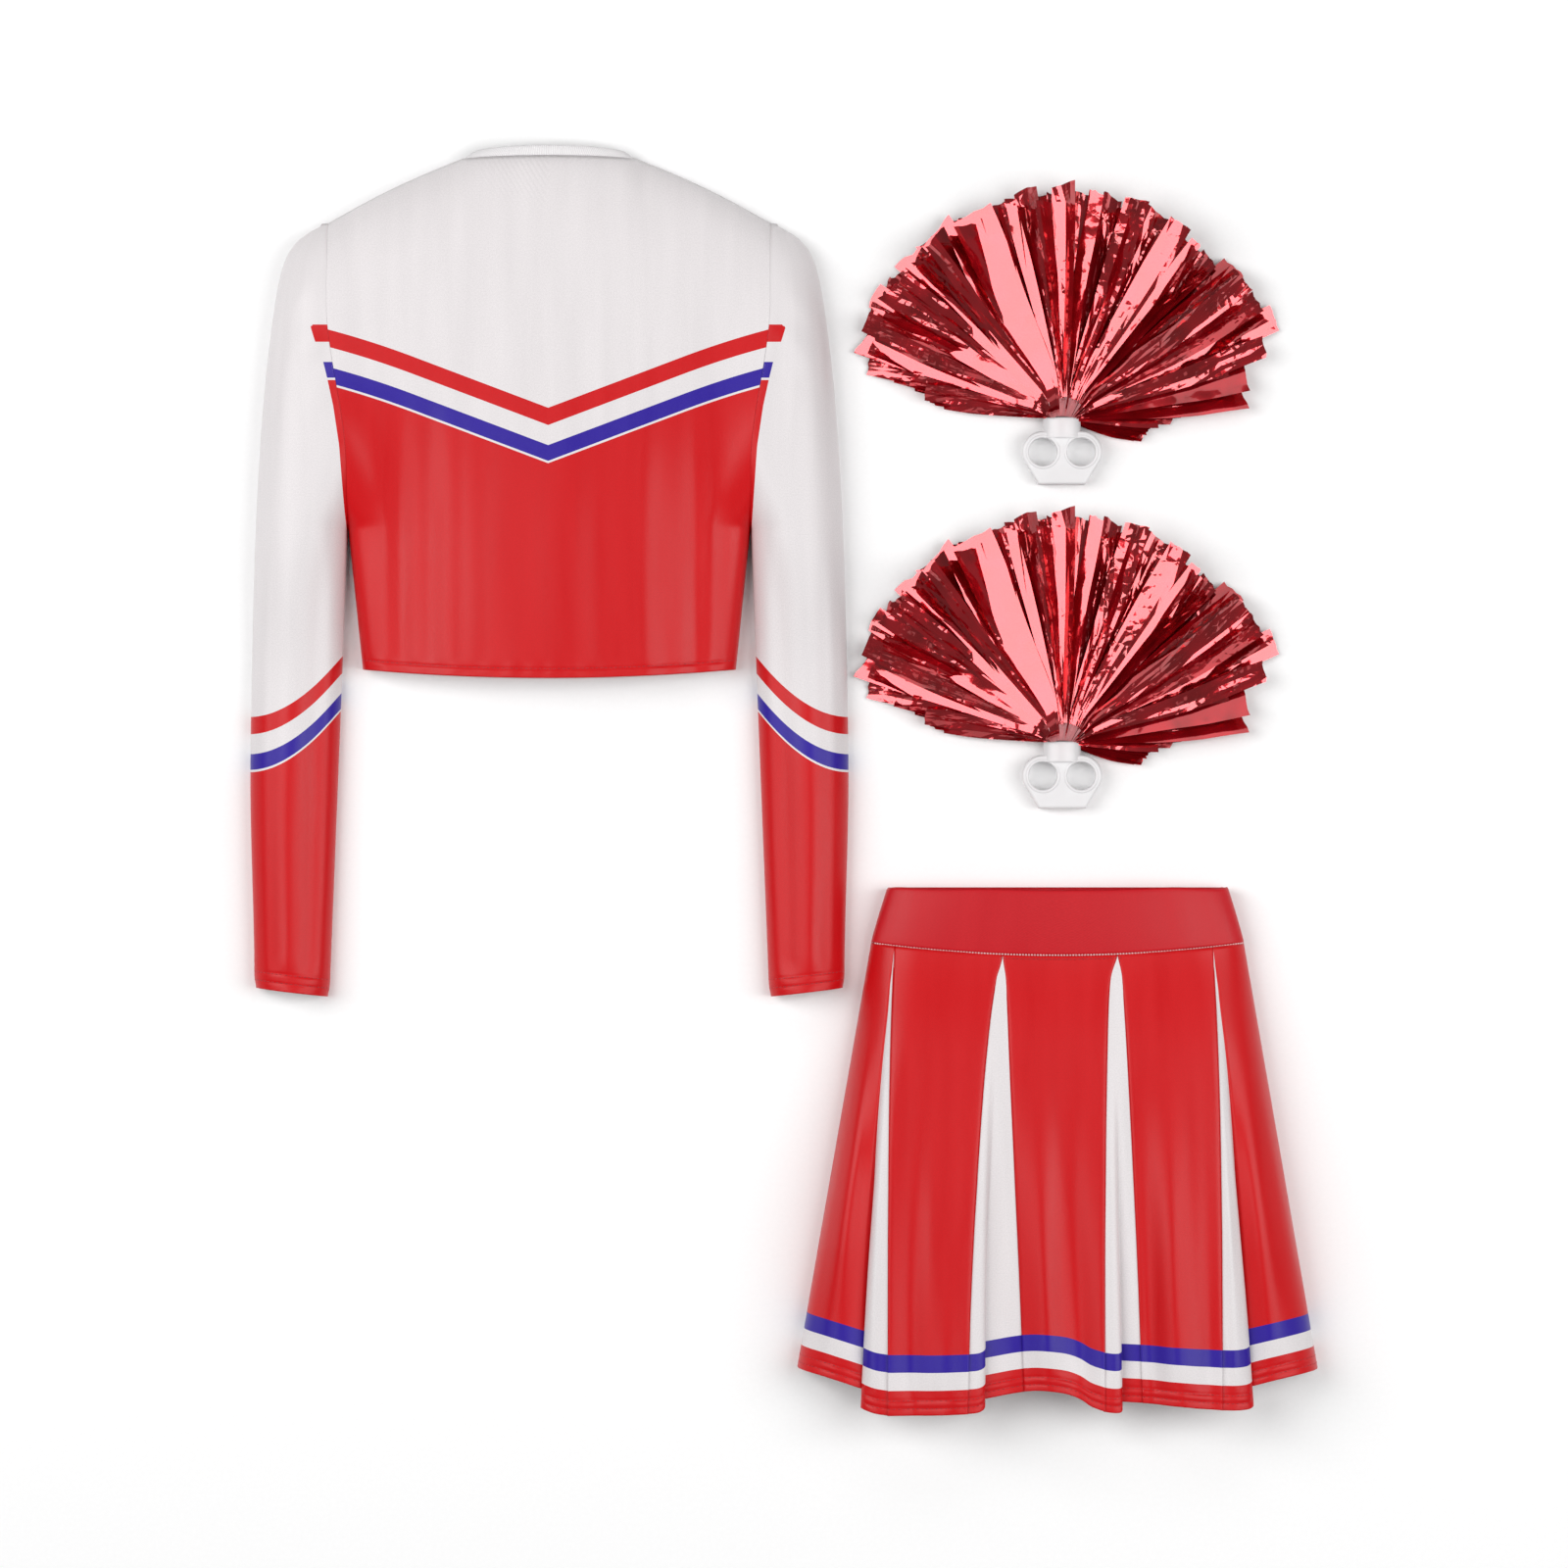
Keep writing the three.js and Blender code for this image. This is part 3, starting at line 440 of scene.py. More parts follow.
def cloth(name, points, origin, face_material, attributes, round_it=False):
    """A piece of cloth from a grid on its face: the face, its reverse one thickness in, and the
    cut edges between. The face is on the side that normals_of points to."""
    rows, columns = points.shape[:2]
    inner = points - normals_of(points, round_it) * CLOTH_THICKNESS
    both = np.concatenate([points.reshape(-1, 3), inner.reshape(-1, 3)])
    outer_faces = grid_faces(rows, columns, round_it)
    inner_faces = outer_faces[:, ::-1] + rows * columns
    rims = []
    index = np.arange(rows * columns).reshape(rows, columns)
    edges = [index[0][::-1], index[-1]]
    if not round_it:
        edges += [index[:, 0], index[:, -1][::-1]]
    for edge in edges:
        if round_it:
            edge = np.append(edge, edge[0])
        a, b = edge[:-1], edge[1:]
        rims.append(np.stack([b, a, a + rows * columns, b + rows * columns], axis=-1))
    rim_faces = np.concatenate(rims)
    faces = np.concatenate([outer_faces, inner_faces, rim_faces])
    kinds = np.repeat([0, 1, 0], [len(outer_faces), len(inner_faces), len(rim_faces)])
    doubled = {}
    for attribute, values in attributes.items():
        flat = values.reshape(rows * columns, -1)
        flat = np.concatenate([flat, flat])
        doubled[attribute] = flat if flat.shape[1] > 1 else flat[:, 0]
    return piece_from(name, both, faces, origin, [face_material, REVERSE], doubled, kinds)


def lay_of(across, along):
    """The cloth's own flat coordinates in mm, which its grain and print follow."""
    return np.stack([across, along, np.zeros_like(across)], axis=-1)


def lengths_along(line):
    """How far along a line each of its points is."""
    return np.concatenate([[0], np.cumsum(np.linalg.norm(np.diff(line, axis=0), axis=1))])


def evenly(line, lengths, count):
    """A number of points evenly spaced along a line, by its given lengths."""
    at = np.linspace(0, lengths[-1], count)
    return np.stack([np.interp(at, lengths, line[:, k]) for k in range(3)], axis=-1)


# A stitch's rings: how far along it each is, its share of the thread's radius, and its rise in mm.
SPINDLE = [(0, 0.35, -0.25), (0.25, 1, 0.1), (0.75, 1, 0.1), (1, 0.35, -0.25)]
THREAD_SIDES = 6


def stitches(name, lines, origin, thread, length=2.6, gap=0.9, radius=0.28, lift=0.1):
    """Rows of single stitches along lines in mm: each a short spindle of thread that dips into
    the cloth at its ends. A line comes with the side that faces out of the cloth, 1 or -1 in Z."""
    points, faces = [], []
    rings = grid_faces(len(SPINDLE), THREAD_SIDES, round_it=True)[:, [0, 3, 2, 1]]
    turns = np.arange(THREAD_SIDES) * 2 * math.pi / THREAD_SIDES
    for line, out in lines:
        line = np.asarray(line, float)
        lengths = lengths_along(line)
        marks = evenly(line, lengths, max(2, int(lengths[-1] / ((length + gap) / 4))))
        for start in range(0, len(marks) - 4, 4):
            a, b = marks[start], marks[start + 3]
            along = (b - a) / max(np.linalg.norm(b - a), 1e-6)
            side = np.cross(along, [0, 0, 1.0])
            side /= max(np.linalg.norm(side), 1e-6)
            up = np.cross(side, along)
            base = len(points)
            for share, girth, rise in SPINDLE:
                centre = mix(a, b, share) + np.array([0, 0, out * (lift + rise)])
                for turn in turns:
                    points.append(centre + radius * girth * (
                        side * math.cos(turn) + up * math.sin(turn)))
            last = base + (len(SPINDLE) - 1) * THREAD_SIDES
            faces += (rings + base).tolist()
            faces.append(list(range(base, base + THREAD_SIDES))[::-1])
            faces.append(list(range(last, last + THREAD_SIDES)))
    return piece_from(name, np.array(points), faces, origin, [thread], {})


# ---------------------------------------------------------------- crop top
# Widths are half widths from the centre line, and Y = 0 is the middle of the hem.
SHOULDER_NECK_Y, SHOULDER_Y = 392.5, 338.1
NECK_HALF, YOKE_HALF = 58.8, 66.2
NECK_RISE, NECK_DROP = 6.0, 55.0
NECK_BAND, NECK_BAND_SIDE = 7.4, 4.0
SHOULDER_HALF, CHEST_HALF, HEM_HALF = 165.4, 150.7, 139.7
UNDERARM_Y, HEM_SAG = 111.7, 6.6
SLEEVE_LENGTH, ELBOW_Y, CUFF_Y = 569.6, 38.1, -231.5
CUFF_SLANT = 6.6
SEAM_Z, TORSO_HEIGHT, SLEEVE_HEIGHT, NECK_HEIGHT = 9.0, 44.0, 31.0, 26.0
TOP_FOLD, TOP_SHOULDER, TOP_FLOOR = 34.0, 70.0, 14.0
SEAM_GAP = 0.03
HEM_STITCH = 6.6
CUFF_STITCHES = (5.8, 12.6)
# The yoke's point, how fast its edge rises to each side, and how it flattens past 100 mm.
YOKE_POINT_Y, YOKE_RISE, YOKE_FLATTENING = 201.4, 0.378, 0.0009
# The sleeve's stripes: their edge's Y at the outer side, and its rise to the inner side on the
# upper layer and on the lower one.
SLEEVE_PRINT_Y, SLEEVE_PRINT_RISE = -28.7, {1: 45.6, -1: 54.4}
# The yoke's stripes run over the armhole seam as tabs, from this Y down to the underarm. The tabs
# end at a slanting line, as (y, x).
TAB_TOP = 263.4
TAB_EDGE = [(113, 151.5), (173, 155.7), (203, 160.2), (225, 165.0), (237, 168.0), (250, 173.4),
            (TAB_TOP, 177.6)]


def armhole_x(y):
    drop = (SHOULDER_Y - y) / (SHOULDER_Y - UNDERARM_Y)
    return mix(SHOULDER_HALF, CHEST_HALF, smooth((drop - 0.25) / 0.55))


def body_x(y):
    side = mix(CHEST_HALF, HEM_HALF, clamp((UNDERARM_Y - y) / (UNDERARM_Y - HEM_SAG)))
    return np.where(y > UNDERARM_Y, armhole_x(y), side)


def sleeve_in_x(y):
    below = CHEST_HALF + 13.9 * (UNDERARM_Y - y) / (UNDERARM_Y - CUFF_Y)
    return np.where(y > UNDERARM_Y, armhole_x(y), below)


def sleeve_out_x(y):
    down = np.maximum(0.0, SHOULDER_Y - y)
    taper = 4 * smooth((down / SLEEVE_LENGTH - 0.7) / 0.3)
    return (SHOULDER_HALF + 29 * (1 - np.exp(-down / 9)) + 31 * (1 - np.exp(-down / 130)) - taper)


def underarm_rise(y):
    return 0.42 * np.maximum(0.0, y - UNDERARM_Y)


def round_shoulder(points):
    """The shoulder seam curves up a little between the neck and the sleeve head."""
    side = np.abs(points[..., 0])
    rise = 4.6 * np.sin(math.pi * clamp((side - 60) / 134))
    points[..., 1] += rise * smooth((points[..., 1] - SHOULDER_Y + 70) / 70)
    return points


def chevron(x):
    """How high the edge of the white yoke is: a V that flattens a little towards the sides."""
    side = np.abs(x)
    return YOKE_POINT_Y + YOKE_RISE * side - YOKE_FLATTENING * np.maximum(0.0, side - 100) ** 2


def torso_folds(x, y):
    """The body keeps the roundness of a torso, with soft lengthwise folds by its sides."""
    low = smooth((235 - y) / 140)
    side = np.abs(x)
    crown = 1.5 - 10.5 * (np.minimum(side, 118) / 100) ** 2.2
    ridges = (1.5 * hump(side, 74, 9) - 1.3 * hump(side, 109, 6) + 1.5 * hump(side, 121, 7)
              - 1.2 * hump(x, 38, 14) + 0.8 * hump(x, -58, 8) - 1.0 * hump(x, -88, 7))
    drift = x + 0.06 * (y - 100)
    fine = 0.3 * np.sin(drift / 8.5 + 0.6 * np.sin(y / 47)) * hump(y, 90, 80)
    yoke = 0.5 * np.sin(x / 21 + y / 60) * smooth((y - 240) / 60)
    return low * (crown + ridges + fine) + yoke


def body_panel(up):
    """The back panel, which lies on top (up = 1), or the front panel underneath (up = -1)."""
    radius = TOP_FOLD if up > 0 else TOP_FLOOR
    reach = TORSO_HEIGHT - SEAM_Z if up > 0 else SEAM_Z
    neck_fill = (NECK_HEIGHT - SEAM_Z) / (TORSO_HEIGHT - SEAM_Z) if up > 0 else 1.0
    neck_dip = (NECK_RISE if up > 0 else -NECK_DROP) - NECK_BAND + NECK_BAND_SIDE
    half_columns = np.concatenate([
        np.linspace(0, 0.88, 48), 1 - 0.12 * (1 - np.linspace(0, 1, 17)[1:]) ** 1.6,
    ])
    shares = np.concatenate([-half_columns[:0:-1], half_columns])
    low_rows = np.linspace(0, 14, 17)
    side_ys = HEM_SAG + np.concatenate([
        low_rows, np.linspace(14, SHOULDER_Y - HEM_SAG, 112)[1:],
    ])
    s, side_y = np.meshgrid(shares, side_ys)
    x_top = np.abs(s) * SHOULDER_HALF
    neck_y = SHOULDER_NECK_Y - NECK_BAND_SIDE - 0.3
    slope = mix(neck_y, SHOULDER_Y, clamp((x_top - YOKE_HALF) / (SHOULDER_HALF - YOKE_HALF)))
    scoop = neck_dip * np.sqrt(np.maximum(0.0, 1 - (x_top / YOKE_HALF) ** 2))
    top = np.where(x_top < YOKE_HALF, neck_y + scoop, slope)
    half = body_x(side_y) - SEAM_GAP
    x = s * half
    bottom = HEM_SAG * (x / HEM_HALF) ** 2
    share = (side_y - HEM_SAG) / (SHOULDER_Y - HEM_SAG)
    y = mix(bottom, top, share)
    near_hem = 1 - smooth((side_y - HEM_SAG - 14) / 40)
    y = mix(y, bottom + (side_y - HEM_SAG), near_hem)
    start = neck_fill * np.sqrt(np.maximum(0.0, 1 - clamp(x_top / YOKE_HALF) ** 2))
    rise = start + (1 - start) * rolled(top - y, TOP_SHOULDER if up > 0 else radius)
    y_across = mix(y, side_y, np.abs(s) ** 2)
    armhole = y_across > UNDERARM_Y
    edge = np.where(armhole, sleeve_out_x(y_across), body_x(y_across)) - np.abs(x)
    seam = body_x(side_y) - np.abs(x) + underarm_rise(y_across)
    fill = rise * rolled(edge, radius) * np.where(armhole, rolled(seam, radius), 1.0)
    z = SEAM_Z + up * (SEAM_GAP + (reach - SEAM_GAP) * fill)
    if up > 0:
        from_side = body_x(side_y) - np.abs(x)
        z = z + torso_folds(x, y) * rolled(from_side, radius) ** 2 * clamp((top - y) / 60)
    # The hem is turned up and sewn: a fuller edge with a groove along its stitches.
    from_hem = side_y - HEM_SAG
    sewn = 0.35 * smooth((HEM_STITCH + 1 - from_hem) / 2) - 0.55 * hump(from_hem, HEM_STITCH, 1.0)
    pucker = 0.3 * np.sin(x / 2.9 + 1.7 * np.sin(x / 23)) * hump(from_hem, HEM_STITCH, 4.5)
    z = z + up * (sewn + pucker) * clamp((body_x(side_y) - np.abs(x)) / 12)
    z = np.maximum(z, 0.4 if up > 0 else 0.05)
    points = round_shoulder(np.stack([x, y, z], axis=-1))
    no_tab = np.full(x.shape, -1.0)
    print_guides = {"lay": lay_of(x, y), "band": chevron(x) - y,
                    "tab_inset": no_tab, "tab_down": no_tab}
    # The rows run down and the columns across, so the back panel faces up. The front panel's
    # columns are turned, so it faces down.
    made = cloth("top_back_panel" if up > 0 else "top_front_panel", points[::-1, ::up],
                 TOP_ORIGIN, PRINTED_TOP,
                 {guide: values[::-1, ::up] for guide, values in print_guides.items()})
    row = int(np.argmin(np.abs(side_ys - HEM_SAG - HEM_STITCH)))
    return made, points[row, ::up]


# A row of the sleeve's grid a little below the underarm, which its girth is measured at.
BELOW_UNDERARM = 100


def sleeve(side):
    """A sleeve, left (side = -1) or right (side = 1), as one tube from the armhole to the cuff."""
    shares = (1 - np.cos(np.linspace(0, math.pi, 30))) / 2
    turn = SHOULDER_Y - (SHOULDER_Y - UNDERARM_Y) * np.linspace(0, 1, 62) ** 1.15
    down = np.linspace(UNDERARM_Y, CUFF_Y + 16, 92)[1:]
    cuff = np.linspace(CUFF_Y + 16, CUFF_Y, 19)[1:]
    ys = np.concatenate([turn, down, cuff])
    s, y = np.meshgrid(shares, ys)
    height = mix(TORSO_HEIGHT, SLEEVE_HEIGHT, smooth((UNDERARM_Y - y) / 120))
    inner = sleeve_in_x(y) + SEAM_GAP
    outer = np.maximum(sleeve_out_x(y), SHOULDER_HALF + 5)
    slant = CUFF_SLANT * clamp((ELBOW_Y - y) / (ELBOW_Y - CUFF_Y))
    x = mix(inner, outer, s)
    from_cuff = y - CUFF_Y
    layers = []
    for up in (1, -1):
        radius = TOP_FOLD if up > 0 else TOP_FLOOR
        shoulder = rolled(SHOULDER_Y - y, TOP_SHOULDER if up > 0 else radius)
        seam = x - inner + underarm_rise(y)
        fill = shoulder * rolled(outer - x, radius) * rolled(seam, radius)
        opened = np.where(y > UNDERARM_Y, SEAM_GAP * (1 - s), 0.0)
        reach = height - SEAM_Z if up > 0 else np.full_like(y, SEAM_Z)
        z = SEAM_Z + up * (opened + (reach - opened) * fill)
        if up > 0:
            calm = clamp(fill * 1.3)
            low = smooth((UNDERARM_Y - y) / 60)
            folds = (1.6 * hump(s, 0.6, 0.13) - 2.0 * hump(s, 0.27, 0.10)
                     + 0.8 * hump(s, 0.83, 0.05) + 0.5 * np.sin(y / 41 + s * 5))
            z = z + calm * low * folds * (1 - smooth((26 - from_cuff) / 20))
            # The sleeve head is eased in: short gathers fan from the seam.
            gathers = np.sin((y - 205) / 6.5 + (x - inner) / 16)
            z = z + 0.9 * gathers * hump(y, 245, 48) * hump(x - inner, 16, 13) * calm
            wrinkle = np.sin(x / 5.2 + y / 17) * hump(from_cuff, 13, 9)
            z = z + 0.5 * wrinkle * calm
        sewn = 0.35 * smooth((CUFF_STITCHES[1] + 1 - from_cuff) / 2)
        for stitch in CUFF_STITCHES:
            sewn = sewn - 0.45 * hump(from_cuff, stitch, 1.0)
        z = z + up * sewn * clamp(fill * 2)
        z = np.maximum(z, 0.05 if up < 0 else 0.6)
        pinch = 1.2 * hump(from_cuff, 0, 5)
        lift = -slant * (1 - s)
        layer = np.stack([x - (pinch * hump(s, 1, 0.2) - pinch * hump(s, 0, 0.2)),
                          y + lift, z], axis=-1)
        print_edge = (SLEEVE_PRINT_Y
                      + SLEEVE_PRINT_RISE[up] * ((outer - x) / (outer - inner)) ** 2)
        layers.append((layer, print_edge))
    (upper, upper_edge), (lower, lower_edge) = layers
    points = round_shoulder(np.concatenate([upper, lower[:, -2:0:-1]], axis=1))
    edge = np.concatenate([upper_edge, lower_edge[:, -2:0:-1]], axis=1)
    across, along = points[:, :, 0], points[:, :, 1]
    tab_end = np.interp(along, *zip(*TAB_EDGE))
    girth = lengths_along(points[BELOW_UNDERARM])
    print_guides = {
        "lay": lay_of(np.broadcast_to(girth, along.shape).copy(), along), "band": edge - along,
        "tab_inset": np.where(along < TAB_TOP, tab_end - across, -1.0),
        "tab_down": TAB_TOP - along,
    }
    # The left sleeve is the right one mirrored, with its columns turned so that it faces out.
    if side < 0:
        points = (points * np.array([-1.0, 1, 1]))[:, ::-1]
        print_guides = {guide: values[:, ::-1] for guide, values in print_guides.items()}
    hand = "left" if side < 0 else "right"
    made = cloth(f"top_{hand}_sleeve", points, TOP_ORIGIN, PRINTED_TOP, print_guides,
                 round_it=True)
    rows = [int(np.argmin(np.abs(ys - CUFF_Y - stitch))) for stitch in CUFF_STITCHES]
    return made, [points[row] for row in rows]


def neck_band():
    """The ribbed band round the neck: the back of the neck on top, the front underneath."""
    turns = np.linspace(0, 2 * math.pi, 181)[:-1]
    section = np.linspace(0, 2 * math.pi, 15)[:-1]
    a, b = np.meshgrid(turns, section, indexing="ij")
    sine = np.sin(a)
    back = sine > 0
    t = 0.5 - 0.5 * np.cos(b)
    edge = SHOULDER_NECK_Y + np.where(back, NECK_RISE, NECK_DROP) * sine
    width = mix(NECK_BAND_SIDE, NECK_BAND, np.abs(sine))
    x = mix(NECK_HALF, YOKE_HALF - 0.3, t) * np.cos(a)
    y = edge - t * (width + 1.2)
    z_back = SEAM_Z + (NECK_HEIGHT - 1.6 - SEAM_Z) * sine
    z_front = SEAM_Z - (SEAM_Z - 1.4) * np.sqrt(np.abs(sine))
    z = np.where(back, z_back, z_front) + 1.3 * np.sin(b)
    points = np.stack([x, y, z], axis=-1)
    faces = grid_faces(len(turns), len(section), round_it=True, closed=True)
    lay = lay_of(a * NECK_HALF, t * NECK_BAND)
    return piece_from("top_neck_band", points.reshape(-1, 3), faces, TOP_ORIGIN, [RIB],
                      {"lay": lay.reshape(-1, 3)})


back_panel, back_hem = body_panel(1)
front_panel, front_hem = body_panel(-1)
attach(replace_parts(back_panel, "back_body_panel"), "top")
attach(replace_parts(front_panel, "front_body_panel"), "top")

band_round_neck = neck_band()
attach(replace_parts(band_round_neck, "neck_band"), "top")

hem_lines = [(back_hem[4:-4], 1), (front_hem[4:-4], -1)]
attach(stitches("top_hem_stitches", hem_lines, TOP_ORIGIN, RED_THREAD), "top")

for hand, side in (("left", -1), ("right", 1)):
    arm, cuff_rings = sleeve(side)
    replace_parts(arm, f"{hand}_upper_sleeve", f"{hand}_lower_sleeve")
    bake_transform(arm)
    cuff_lines = []
    for ring in cuff_rings:
        high = np.array([p for p in ring if p[2] > SEAM_Z + 1])
        low = np.array([p for p in ring if p[2] < SEAM_Z - 1])
        cuff_lines.append((high[np.argsort(high[:, 0])], 1))
        cuff_lines.append((low[np.argsort(low[:, 0])], -1))
    sewn = stitches(f"top_{hand}_cuff_stitches", cuff_lines, TOP_ORIGIN, RED_THREAD)
    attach(sewn, f"{hand}_forearm")


# ---------------------------------------------------------------- skirt
# Y = 0 is the waistband's top edge.
WAIST_HALF, SKIRT_SEAM_HALF, SKIRT_HALF = 127.5, 139.5, 194.8
WAISTBAND_DEPTH, WAISTBAND_SAG = 41.0, 9.0
# From the waist seam to the hem, along the cloth.
SKIRT_LENGTH = 335.0
WAIST_HEIGHT, HIP_HEIGHT, HEM_HEIGHT = 36.0, 44.0, 61.0
SKIRT_SEAM_Z = 11.0
SKIRT_STITCHES = (5.0, 10.5)
ROWS_DOWN = np.concatenate([
    np.linspace(0, 0.06, 9), np.linspace(0.06, 0.86, 66)[1:], np.linspace(0.86, 1, 50)[1:],
])


def waist_seam_y(x):
    share = clamp(np.abs(x) / SKIRT_SEAM_HALF)
    return -WAISTBAND_DEPTH - WAISTBAND_SAG * (1 - share ** 2) - 0.3


def skirt_half(v):
    return mix(SKIRT_SEAM_HALF, SKIRT_HALF, v)


def hip_z(x, v):
    """Height of the skirt's upper layer without its pleats."""
    height = mix(mix(WAIST_HEIGHT, HIP_HEIGHT, smooth(v / 0.25)), HEM_HEIGHT - 4, v)
    return SKIRT_SEAM_Z + (height - SKIRT_SEAM_Z) * rolled(skirt_half(v) - np.abs(x), 40)


# How far to each side a seam line is averaged, to round its corners.
SEAM_SPREAD = (-0.48, -0.24, 0.0, 0.24, 0.48)


def seam_line(points):
    """A seam's x at v down the skirt: a smooth run through (v, x) points."""
    vs, xs = zip(*points)

    def at(v):
        near_end = np.minimum(v, 1 - v)
        runs = [np.interp(clamp(v + offset * near_end), vs, xs) for offset in SEAM_SPREAD]
        return sum(runs) / len(runs)

    return at


# The left and right seam of each front godet, as (v, x) from the waist seam down to the hem.
GODET_SEAMS = {
    "far_left": (
        [(0, -122.5), (0.08, -124.1), (0.33, -133.0), (0.55, -139.1), (1, -146.5)],
        [(0, -122.5), (0.08, -124.1), (0.25, -126.3), (0.46, -127.4), (1, -127.8)],
    ),
    "left": (
        [(0, -41.6), (0.015, -42.1), (0.07, -47.4), (0.18, -52.8), (0.37, -58.7), (0.7, -65.4),
         (1, -68.0)],
        [(0, -41.6), (0.015, -41.4), (0.08, -38.9), (0.3, -36.5), (0.6, -31.6), (1, -26.2)],
    ),
    "right": (
        [(0, 44.0), (0.01, 43.6), (0.045, 39.4), (0.12, 36.7), (0.25, 35.9), (0.5, 34.1),
         (1, 34.0)],
        [(0, 44.0), (0.01, 44.4), (0.04, 46.6), (0.12, 48.8), (0.31, 52.0), (0.62, 57.3),
         (1, 62.0)],
    ),
    "far_right": (
        [(0, 115.6), (0.09, 117.0), (0.25, 119.1), (0.45, 120.9), (1, 121.7)],
        [(0, 115.6), (0.09, 117.4), (0.25, 124.1), (0.42, 129.0), (0.68, 135.1), (1, 142.0)],
    ),
}
GODET_EDGES = {end: [seam_line(points) for points in seams] for end, seams in GODET_SEAMS.items()}

# The front's cross-section at the hem, piece by piece from the left: x, how far the hem hangs
# below the waistband's top edge, and the cloth's height. The cloth folds over itself where one
# piece ends high and the next starts low.
HEM_SHAPE = {
    "side_left": [(-194.8, 358.5, 11), (-193.5, 359.0, 24), (-188, 360.5, 35), (-176, 363.5, 43),
                  (-160, 368.5, 46), (-148, 372.6, 45), (-140, 374.5, 43)],
    "godet_far_left": [(-143, 388.0, 43), (-145.8, 387.4, 46), (-146.5, 386.8, 49),
                       (-144, 388.2, 52.5), (-137, 390.8, 55.5), (-127.8, 392.4, 57)],
    "gore_left": [(-127.8, 392.4, 57.4), (-117, 392.3, 57.6), (-106, 392.2, 55.6),
                  (-97, 392.1, 56.4), (-85, 391.6, 60.2), (-76, 391.2, 61.6), (-68, 390.8, 61)],
    "godet_left": [(-68, 390.8, 60.6), (-60, 389.9, 59.6), (-55.6, 387.6, 57), (-54.7, 384.6, 54),
                   (-57, 381.0, 51.5), (-55, 380.2, 50.4), (-47, 378.6, 49.6), (-36, 376.4, 48.6),
                   (-26.2, 374.8, 48)],
    "gore_centre": [(-26.2, 374.8, 48.4), (-16, 374.0, 51.6), (-5, 374.6, 54), (6.6, 376.6, 54.2),
                    (16, 380.4, 53.6), (24, 385.6, 55.4), (34, 389.2, 58)],
    "godet_right": [(34, 389.2, 57.6), (41, 390.2, 57.8), (46, 389.8, 56.6), (47.2, 387.0, 54.4),
                    (45, 383.8, 52), (46.8, 382.4, 51.2), (54, 382.6, 51.8), (62, 383.0, 52.6)],
    "gore_right": [(62, 383.0, 53), (71, 383.7, 53.6), (82, 384.8, 57.6), (92, 385.6, 60.4),
                   (103, 386.7, 60.6), (112, 387.4, 58.6), (121.7, 388.2, 57.6)],
    "godet_far_right": [(121.7, 388.2, 57.2), (132, 388.4, 56), (140, 387.6, 53.5),
                        (143.4, 385.6, 50), (142.8, 383.8, 46.5), (139.5, 383.4, 43)],
    "side_right": [(137, 372.6, 43), (146, 370.6, 45), (160, 366.8, 46), (176, 363.2, 43),
                   (188, 360.8, 35), (193.5, 359.6, 24), (194.8, 359.2, 11)],
}


def run_through(points, count):
    """Evenly spaced points along a smooth curve through the given ones (a Catmull-Rom run)."""
    given = np.array(points, float)
    ends = np.concatenate([[2 * given[0] - given[1]], given, [2 * given[-1] - given[-2]]])
    fine = []
    for k in range(1, len(ends) - 2):
        p0, p1, p2, p3 = ends[k - 1 : k + 3]
        for t in np.linspace(0, 1, 12, endpoint=False):
            fine.append(0.5 * (2 * p1 + (p2 - p0) * t + (2 * p0 - 5 * p1 + 4 * p2 - p3) * t ** 2
                               + (3 * p1 - p0 - 3 * p2 + p3) * t ** 3))
    fine = np.array(fine + [given[-1]])
    # Rises count for less than runs, so that steep folds don't take all the points.
    return evenly(fine, lengths_along(fine * np.array([1, 1, 0.6])), count)


def front_piece(shape, left, right, columns, start=0.0, sink=0.0, folds=1.0, tuck=0.0):
    """A grid of one front piece between its seam lines, from where it starts down to the hem. A
    godet sinks below its neighbours and is tucked under them, in mm, and folds less."""
    hem = run_through(HEM_SHAPE[shape], columns)
    v = (start + (1 - start) * ROWS_DOWN)[:, None]
    at_hem = np.ones(1)
    s = ((hem[:, 0] - left(at_hem)) / (right(at_hem) - left(at_hem)))[None, :]
    even = np.linspace(0, 1, columns)[None, :]
    s = mix(even, s, smooth((v - 0.2) / 0.7))
    under = tuck * smooth(v / 0.1)
    x = mix(left(v) - under, right(v) + under, s)
    y = mix(waist_seam_y(x), -hem[None, :, 1], v)
    # The heights of a piece's two edges run down from the hip; its own folds open further down.
    hem_z = hem[None, :, 2]
    level = mix(hem[0, 2], hem[-1, 2], even)
    z = mix(hip_z(x, v), level, smooth(v ** 0.8) * 0.999)
    z = z + (hem_z - level) * smooth((v - 0.12) / 0.6)
    inside = np.sin(math.pi * even)
    # Broad folds and finer ones drift across the piece, and each piece has its own.
    phase = len(shape) * 1.3
    broad = 3.2 * np.sin(even * 7.2 + phase - v * 2.0)
    fine = 0.5 * np.sin(even * 15 + v * 3.1 + phase)
    along = smooth((v - 0.2) / 0.6) * (1 - 0.6 * smooth((v - 0.9) / 0.1))
    z = z + (broad + fine) * inside * folds * along
    z = z - sink * smooth(v / 0.15)
    x = np.broadcast_to(x, z.shape)
    return x, y, z, v


